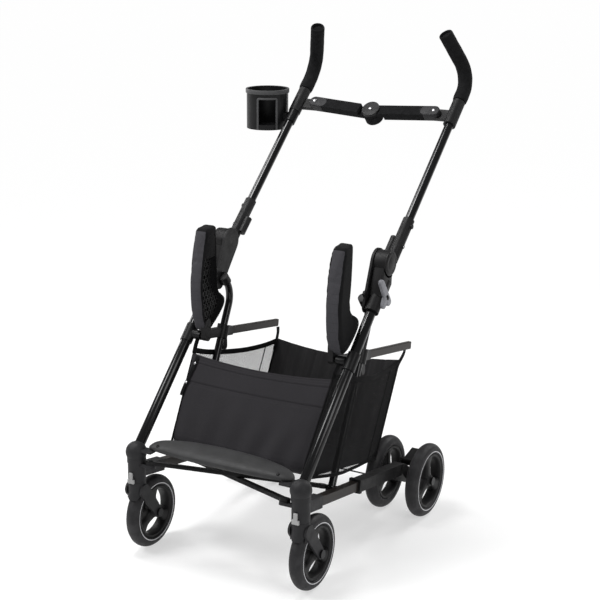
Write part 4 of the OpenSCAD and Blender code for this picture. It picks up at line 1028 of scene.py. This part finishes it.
    def cover(self):
        """Charcoal cloth where the front is marked, with stitch lines low down, and black cloth on the sides."""
        c = bpy.context.scene.stroller_colours
        made = Finish("arm_cover_cloth", c.arm_front, 0.85, 0.1, sheen=0.02)
        mark = made.node("Attribute", attribute_name="front")
        strip = made.ramp(mark.outputs["Fac"], 0.45, 0.55)
        weave = made.noise(900, 2.0, stretch=(1, 1, 0.25))
        front, sides = (made.tint(weave, shaded(v, 0.75), shaded(v, 1.25)) for v in (c.arm_front, c.arm_side))
        lines = made.node("TexWave", wave_type="BANDS", bands_direction="Z", wave_profile="SAW")
        lines.inputs["Scale"].default_value = 16.0
        made.link(made.coords.outputs["Object"], lines.inputs["Vector"])
        split = made.node("SeparateXYZ")
        made.link(made.coords.outputs["Object"], split.inputs[0])
        low = made.math("LESS_THAN", split.outputs[2], 0.585)
        stitch = made.ramp(lines.outputs["Fac"], 0.96, 0.985)
        seam = made.math("MULTIPLY", stitch, made.math("MULTIPLY", strip, low))
        stitched = made.tint(seam, front, shaded(c.arm_front, 0.65))
        made.base(made.tint(strip, sides, stitched))
        made.bump(weave, 0.4, 0.0003)
        made.bump(seam, 0.35, -0.0006)
        return made.material


# Basket corners in the drawing, as (y, z), the drop between them, and half widths
FRONT_TOP, FRONT_LOW = np.array([134.0, 412.0]), np.array([16.0, 224.0])
REAR_TOP, REAR_LOW = np.array([460.0, 348.0]), np.array([352.0, 150.0])
FRONT_DROP, REAR_DROP = math.dist(FRONT_TOP, FRONT_LOW), math.dist(REAR_TOP, REAR_LOW)
TOP_FRONT_X, TOP_REAR_X, LOW_FRONT_X, LOW_REAR_X = 168.0, 156.0, 156.0, 155.0
# Half width where the side lies over the strut, the strut's share of the side's length, and the sag of each edge
PANEL_OVER_STRUT, STRUT_AT_TOP, STRUT_AT_LOW = 178.65, 0.3, 0.358
SIDE_SAG, FRONT_SAG, REAR_SAG = 17.0, 13.0, 13.0
# Distance of the cloth from the source's surface, and of the front's hem from the corner
CLOTH_OUT, FRONT_START = 0.9, 11
# Way out from the leaning front
FRONT_OUT = np.array([0, -0.85, 0.53])


def panel(u, v):
    """Right side panel: top edge to lower edge by v, front to rear by u, tented out over the strut."""
    front, rear = mix(TOP_FRONT_X, LOW_FRONT_X, v), mix(TOP_REAR_X, LOW_REAR_X, v)
    at = mix(STRUT_AT_TOP, STRUT_AT_LOW, v)
    x = np.where(
        u < at, mix(front, PANEL_OVER_STRUT, ease(u / at)), mix(PANEL_OVER_STRUT, rear, ease((u - at) / (1 - at)))
    )
    slack = ease((u - at) * 3) * (1 - u)
    x = x + slack * (2.0 * np.sin(6 * np.pi * u + 1.3 * v) + 1.2 * np.sin(15 * u - 4 * v))
    top = [mix(FRONT_TOP[k], REAR_TOP[k], u) for k in (0, 1)]
    top[1] = top[1] - 4 * SIDE_SAG * u * (1 - u)
    low = [mix(FRONT_LOW[k], REAR_LOW[k], u) for k in (0, 1)]
    return np.stack([x, mix(top[0], low[0], v), mix(top[1], low[1], v)], -1)


def cloth_run():
    """Run of the basket's cloth from front top to rear top, its lower corners rounded: points and length along it."""
    t = np.linspace(0, 1, 9)[:, None]
    corner = 0.2

    def round_corner(a, c, b):
        s, e = mix(c, a, corner), mix(c, b, corner)
        return mix(mix(s, c, t), mix(c, e, t), t)

    k = np.linspace(0, 1 - corner, 12)[:, None]
    front = mix(FRONT_TOP, FRONT_LOW, k)
    front_corner = round_corner(FRONT_TOP, FRONT_LOW, REAR_LOW)
    rear_corner = round_corner(FRONT_LOW, REAR_LOW, REAR_TOP)
    rear = mix(REAR_LOW, REAR_TOP, k + corner)
    line = np.concatenate([front, front_corner[1:], rear_corner, rear[1:]])
    return line, run_length(line)


class STROLLER_OT_basket(bpy.types.Operator):
    """Makes the basket: a hemmed front, floor and pleated rear, two net sides, bound edges and straps"""

    bl_idname = "stroller.basket"
    bl_label = "Basket"

    def execute(self, context):
        f = finishes()
        line, length = cloth_run()
        total = length[-1]
        self.run(f["basket"], "front", FRONT_START, FRONT_DROP * 0.98, 120, line, length)
        self.run(f["lining"], "floor", FRONT_DROP * 0.96, total - REAR_DROP * 0.94, 70, line, length)
        self.run(f["lining"], "rear", total - REAR_DROP * 0.96, total, 80, line, length)
        for side in SIDES:
            self.side_panel(side, f)
        self.strap(f, line, length)
        return {"FINISHED"}

    def strap(self, f, line, length):
        """Narrow strap with two press studs that hangs down the front's left edge."""
        top, low = 16, 104
        d = np.linspace(top, low, 40)
        y, z = (np.interp(d, length, line[:, k]) for k in (0, 1))
        x = -(TOP_FRONT_X - 15 + 12 * ease((d - top) / (low - top)))
        path = np.stack([x, y - 3.2, z + 2.0], -1)
        grid = sweep(path, oval(14, 3.6, 0.8, 3.0), FRONT_OUT)
        made = capped("basket_front_strap", grid, f["tape"], "right_frame", sharp=None)
        flatten(made)
        dome = np.array([[-0.2, 0.01], [-0.2, 3.0], [0.5, 3.0], [1.0, 2.2], [1.2, 0.01]])
        for k, at in enumerate((7, 26)):
            grid = lathe(dome, path[at] + [0, -0.7, 0.4], FRONT_OUT, X_AXIS, 20)
            made = capped(f"basket_stud_{k}", grid, f["steel"], "right_frame", sharp=None)
            flatten(made)

    def run(self, material, name, start, stop, rows, line, length):
        """One stretch of the run, with sag between its corners, hems, seams and creases."""
        d = np.linspace(start, stop, rows)
        at = np.stack([np.interp(d, length, line[:, k]) for k in (0, 1)], -1)
        normal = np.gradient(at, axis=0)
        normal = unit(np.stack([-normal[:, 1], normal[:, 0]], -1))
        up_front = np.clip(1 - d / FRONT_DROP, 0, 1)[:, None]
        up_rear = np.clip(1 - (length[-1] - d) / REAR_DROP, 0, 1)[:, None]
        along = ((d - start) / (stop - start))[:, None]
        d = d[:, None]
        s = np.linspace(-1, 1, 130)[None]
        bow = 1 - s * s
        back = np.clip((at[:, :1] - FRONT_LOW[0]) / (REAR_LOW[0] - FRONT_LOW[0]), 0, 1)
        low = mix(LOW_FRONT_X, LOW_REAR_X, back)
        half = low + (TOP_FRONT_X - LOW_FRONT_X) * up_front + (TOP_REAR_X - LOW_REAR_X) * up_rear - 0.8
        sag = bow * (FRONT_SAG * up_front**3 + REAR_SAG * up_rear**3)
        if name == "front":
            relief = self.front_relief(s, d)
        elif name == "rear":
            puff = 4.2 * (np.abs(np.cos(4.5 * np.pi * s)) ** 0.6 - 0.6)
            relief = (0.3 + 0.7 * up_rear) * bow**0.4 * (puff + 0.5 * np.cos(23 * np.pi * s + 2 * up_rear))
        else:
            relief = bow * (0.8 * np.sin(9 * s + 0.05 * d) - 2.2 * np.sin(np.pi * along))
        yz = at[:, None] + (CLOTH_OUT + relief)[..., None] * normal[:, None]
        grid = np.stack([s * half, yz[..., 0], yz[..., 1] - sag], -1)
        uv = MM * np.stack(np.broadcast_arrays(s * half, d), -1)
        made = piece(
            grid_mesh(f"basket_{name}", grid, uv=uv), material, "right_frame", ["basket_cloth"]
        )
        thicken(made, 1.2)
        flatten(made)

    def front_relief(self, s, d):
        """Height of the front's hem, seams and creases, outwards negative: bells across each seam, and sines."""
        d = d - FRONT_START

        def bell(away, wide, deep):
            return deep * np.exp(-((away / wide) ** 2))

        hem = -1.3 * ease((17 - d) / 2.0)
        rows = ((5, 1.2, 0.9), (11, 1.1, 0.8), (17, 1.2, 1.0), (60, 1.6, 1.5), (65, 1.3, 0.8))
        lines = sum(bell(d - at, wide, deep) for at, wide, deep in rows)
        pocket = -0.9 * ease((60 - d) / 3.0)
        edges = bell(np.abs(s) - 0.945, 0.006, 1.0) + bell(np.abs(s) - 0.965, 0.006, 0.8)
        share = d / FRONT_DROP
        creases = (
            1.8 * np.sin(5.5 * np.pi * s + 2.4 * share) * np.exp(-(((share - 0.72) / 0.3) ** 2))
            + 1.1 * np.sin(21 * (s * 0.8 + 0.55 * share)) * ease((share - 0.35) / 0.3) * ease((s + 0.2) / 0.6)
            + 1.0 * np.sin(17 * (s * 0.9 - 0.5 * share)) * ease((share - 0.4) / 0.3) * ease((-s - 0.3) / 0.4)
        )
        belly = -3.5 * (1 - s * s) * np.sin(np.pi * np.clip(share, 0, 1))
        return hem + lines + pocket + edges + creases * (1 - s**4) + belly

    def side_panel(self, side, f):
        """Net panel of one side with bound edges, a seam, a front tab and a webbing loop to the seat bar's end."""
        frame_body = f"{side}_frame"
        out = CLOTH_OUT * X_AXIS
        grid = panel(*np.meshgrid(np.linspace(0, 1, 110), np.linspace(0, 1, 60))) + out
        across, down = run_length(grid[30]), run_length(grid[:, 55])
        uv = MM * np.stack(np.broadcast_arrays(across[None], down[:, None]), -1)
        mesh = grid_mesh(f"basket_net_{side}", mirror(grid, side), uv=uv)
        made = piece(mesh, f["net"], frame_body, [f"basket_side_{side}"])
        hem = length_of("hem")
        long, short = np.linspace(0, 1, 80), np.linspace(0, 1, 60)
        for name, u, v, inward, wide in (
            ("top", long, 0 * long, -Z_AXIS, hem),
            ("front", 0 * short, short, Y_AXIS, 0.62 * hem),
            ("rear", 0 * short + 1, short, -Y_AXIS, 0.62 * hem),
            ("low", long, 0 * long + 1, Z_AXIS, 0.62 * hem),
        ):
            path = panel(u, v) + out + inward * wide * 0.32
            self.band(f"basket_binding_{name}_{side}", path, wide, 2.4, side, f["tape"], frame_body)
        seam = panel(np.full(50, 0.86), np.linspace(0.02, 0.98, 50)) + out
        self.band(f"basket_seam_{side}", seam, 2.2, 1.9, side, f["tape"], frame_body)
        corner = np.array([156.0, 456.5, 341.0])
        bar_end = np.array([163.0, 472.0, 372.0])
        bend = mix(corner, bar_end, 0.6) + [1, 3, 0]
        loop = spline([corner + [0, -14, -16], corner + [1, -3, 0], bend, bar_end], 24)
        self.band(f"basket_strap_{side}", loop, 13.0, 2.0, side, f["tape"], frame_body)
        tab = spline([(167.5, 130, 402), (168.5, 138, 416), (170, 147, 426), (171, 152, 431)], 20)
        self.band(f"basket_tab_{side}", tab, 15.0, 2.2, side, f["tape"], frame_body)

    def band(self, name, path, wide, thick, side, material, body):
        """Flat tape carried along a path, upright in the panel's plane."""
        along = unit(np.gradient(path, axis=0))
        count = 14
        grid = sweep(path, oval(count, thick / 2, wide / 2, 3.0), np.cross(X_AXIS, along))
        uv = MM * np.stack(np.broadcast_arrays(np.linspace(0, wide, count)[None], run_length(path)[:, None]), -1)
        capped(name, mirror(grid, side), material, body, sharp=None, uv=uv)


class STROLLER_OT_trim(bpy.types.Operator):
    """Makes the screws, the knob, the cup holder's window frame and the other small trim"""

    bl_idname = "stroller.trim"
    bl_label = "Trim"

    def execute(self, context):
        f = finishes()
        knob = drawn("knob_turn")
        self.button("crossbar_knob", knob + 9.5 * HANDLE_UP, HANDLE_UP, 20.6, 4.5, f["plastic"], "left_link")
        self.screw("knob_screw", knob + 14.2 * HANDLE_UP, HANDLE_UP, 4.0, "left_link", f)
        for side in SIDES:
            pivot = mirror(drawn("width_fold"), side)
            self.screw(f"crossbar_screw_{side}", pivot + 11.0 * HANDLE_UP, HANDLE_UP, 4.2, f"{side}_handle", f)
            outward = SIDES[side] * X_AXIS
            for name, along, reach, tall in (("upper", 112, 5.2, 3.4), ("lower", 60, 4.6, 2.6)):
                at = mirror(on_handle(along), side) + 11.6 * outward
                self.button(f"collar_knob_{name}_{side}", at, outward, reach, tall, f["plastic"], f"{side}_handle")
            at = mirror(on_handle(60), side) + 14.0 * outward
            self.screw(f"collar_screw_{side}", at, outward, 2.8, f"{side}_handle", f)
            at = np.array([SIDES[side] * 142.0, -44.0, 256.2])
            screw = self.screw(f"footrest_screw_{side}", at, np.array([0, -0.5, 0.87]), 3.6, "right_frame", f, "dark")
            flatten(screw)
        self.cup(f)
        return {"FINISHED"}

    def cup(self, f):
        """Rim band turned about the cup's axis, and a raised frame carried up, over and down its window's edge."""
        clip = mirror(on_handle(372.6), "left")
        middle = np.array([clip[0] - 65.5, clip[1], 0])
        rim = clip[2] + 62.3
        band = np.array(
            [[-9.4, 48.6], [-9.2, 50.2], [-8.4, 50.8], [-0.6, 50.8], [0.4, 50.2], [0.6, 48.6], [0.4, 46.4],
             [-0.6, 45.6], [-5, 45.5], [-5, 47.5]]
        )
        grid = lathe(band + [rim, 0], middle, Z_AXIS, X_AXIS, 96)
        mesh = grid_mesh("cup_rim_band", grid, wrap=True, loop=True, sharp=50)
        piece(mesh, f["rim"], "left_handle")
        wide, low, high, radius = math.radians(26.5), rim - 90, rim - 18.5, 49
        corner = [(-wide, low), (-wide, high - 2), (-wide + 0.05, high)]
        corner += [(-turn, z) for turn, z in reversed(corner)]
        line = np.concatenate([np.linspace(a, b, 24) for a, b in zip(corner, corner[1:])])
        turn, z = even(line * [radius, 1], 120).T
        turn = turn / radius + math.radians(30)
        out = np.stack([np.sin(turn), -np.cos(turn), 0 * turn], -1)
        path = middle + 48.9 * out + z[:, None] * Z_AXIS
        grid = sweep(path, oval(12, 2.4, 1.3, 4.0), out)
        capped("cup_window_frame", grid, f["rim"], "left_handle", sharp=None)

    def button(self, name, at, axis, reach, tall, material, body):
        """Low round button turned about its axis, with a quarter-round edge."""
        t, soft = np.linspace(0, np.pi / 2, 6), 1.2
        edge = np.stack([tall - soft + soft * np.sin(t), reach - soft + soft * np.cos(t)], -1)
        profile = np.concatenate([[[-1.0, 0.01], [-1.0, reach]], edge, [[tall, 0.01]]])
        capped(name, lathe(profile, at, axis, Z_AXIS, 32), material, body)

    def screw(self, name, at, axis, reach, body, f, finish="steel"):
        """Domed screw head turned about its axis, with a round socket in its middle."""
        profile = np.array(
            [[-1.0, 0.01], [-1.0, 1.0], [0.6, 1.0], [1.3, 0.86], [1.7, 0.55], [1.75, 0.5], [0.8, 0.42], [0.8, 0.01]]
        )
        hint = Z_AXIS if abs(axis[0]) > 0.9 else X_AXIS
        grid = lathe(profile * [1, reach], at, axis, hint, 32)
        return capped(name, grid, f[finish], body, sharp=40)


# ---- Studio


class STROLLER_OT_stage(bpy.types.Operator):
    """Sets the pale floor, the soft studio lamps and the camera at the photograph's angle"""

    bl_idname = "stroller.stage"
    bl_label = "Studio"

    def execute(self, context):
        scene = context.scene
        scene.view_settings.view_transform = "Standard"
        self.floor(scene)
        self.sky(scene)
        for name, place, aim, size, power in (
            ("key", (-2.2, -2.6, 3.4), (0, 0.0, 0.55), (1.5, 1.5), 84),
            ("top", (-0.8, -0.4, 3.0), (0, 0.2, 0.6), (0.9, 0.9), 48),
            ("strip", (-2.6, 0.6, 1.9), (0, 0.1, 0.6), (0.35, 2.2), 24),
            ("fill", (3.2, -1.6, 2.4), (0, 0, 0.5), (2.0, 2.0), 46),
            ("rim", (1.2, 3.0, 2.6), (0, 0.1, 0.6), (1.6, 0.6), 60),
        ):
            self.lamp(scene, name, place, aim, size, power)
        self.camera(scene)
        return {"FINISHED"}

    def camera(self, scene):
        """Camera fitted to the photograph: its focal length is given in pixels of a picture 600 wide."""
        focal, picture, sensor = 1418.09, 600, 36
        tilt, turn = 15.745, 30.578
        eye = bpy.data.cameras.new("photo_camera")
        eye.lens = sensor * focal / picture
        eye.shift_x, eye.shift_y = 0.0349, -0.0066
        eye.clip_end = 200
        made = bpy.data.objects.new("photo_camera", eye)
        made.location = np.array([1.4421, -2.2395, 1.3343]) + DRAWING_ZERO
        made.rotation_euler = (math.radians(90 - tilt), 0, math.radians(turn))
        scene.collection.objects.link(made)
        scene.camera = made

    def lamp(self, scene, name, place, aim, size, power):
        """Soft oblong lamp at a place, turned to face its aim."""
        lamp = bpy.data.lights.new(name, "AREA")
        lamp.shape = "RECTANGLE"
        lamp.size, lamp.size_y = size
        lamp.energy = power
        made = bpy.data.objects.new(name, lamp)
        made.location = place
        ahead = unit(np.array(aim, float) - np.array(place, float))
        yaw = math.atan2(-ahead[0], ahead[1])
        made.rotation_euler = (math.acos(-ahead[2]), 0, yaw)
        scene.collection.objects.link(made)

    def floor(self, scene):
        """Flat disc whose rings spread with the square of their number; paper that glows more towards its edge."""
        rows, cols, reach, sunk = 40, 72, 40000, 0.6
        near, far = 0.5, 2.4
        ring = np.linspace(0.0001, 1, rows)[:, None] ** 2 * reach
        turn = np.linspace(0, 2 * np.pi, cols, endpoint=False)[None]
        grid = np.stack([ring * np.cos(turn), ring * np.sin(turn), np.full((rows, cols), FLOOR - sunk)], -1)
        mesh = grid_mesh("studio_floor", grid, wrap=True)
        made = Finish("studio_floor", (0.5, 0.5, 0.5), 0.9, 0.02)
        away = made.node("VectorMath", operation="LENGTH")
        made.link(made.coords.outputs["Object"], away.inputs[0])
        edge = made.ramp(away.outputs["Value"], near, far)
        made.base(made.tint(edge, made.mottle(0.6, 0.02), (0.02, 0.02, 0.02)))
        made.set("Emission Color", (1, 1, 1, 1))
        glow = made.ramp(away.outputs["Value"], near, far, 0.52, 0.985)
        made.link(glow, made.shader.inputs["Emission Strength"])
        obj = bpy.data.objects.new("studio_floor", mesh)
        scene.collection.objects.link(obj)
        mesh.materials.append(made.material)

    def sky(self, scene):
        """Plain dim surround, the same from every side."""
        world = bpy.data.worlds.new("studio")
        world.use_nodes = True
        scene.world = world
        back = world.node_tree.nodes["Background"]
        back.inputs["Color"].default_value = (1, 1, 1, 1)
        back.inputs["Strength"].default_value = 0.22


OPERATORS = (
    STROLLER_OT_stage,
    STROLLER_OT_tubes,
    STROLLER_OT_wheels,
    STROLLER_OT_grips,
    STROLLER_OT_arms,
    STROLLER_OT_basket,
    STROLLER_OT_trim,
)


class STROLLER_PT_panel(bpy.types.Panel):
    """Lists the pieces of the stroller frame"""

    bl_idname = "STROLLER_PT_panel"
    bl_label = "Stroller frame"
    bl_space_type = "VIEW_3D"
    bl_region_type = "UI"
    bl_category = "Stroller"

    def draw(self, context):
        for operator in OPERATORS:
            self.layout.operator(operator.bl_idname)


CLASSES = (StrollerColours, StrollerSizes, *OPERATORS, STROLLER_PT_panel)


def register():
    """Adds the classes, and their settings to the scene."""
    for made in CLASSES:
        bpy.utils.register_class(made)
    bpy.types.Scene.stroller_colours = bpy.props.PointerProperty(type=StrollerColours)
    bpy.types.Scene.stroller_sizes = bpy.props.PointerProperty(type=StrollerSizes)


def unregister():
    """Takes away what register added."""
    del bpy.types.Scene.stroller_sizes
    del bpy.types.Scene.stroller_colours
    for made in reversed(CLASSES):
        bpy.utils.unregister_class(made)


def main():
    """Builds the stage and every piece in order."""
    register()
    bpy.ops.stroller.stage()
    bpy.ops.stroller.tubes()
    bpy.ops.stroller.wheels()
    bpy.ops.stroller.grips()
    bpy.ops.stroller.arms()
    bpy.ops.stroller.basket()
    bpy.ops.stroller.trim()


if __name__ == "__main__":
    main()
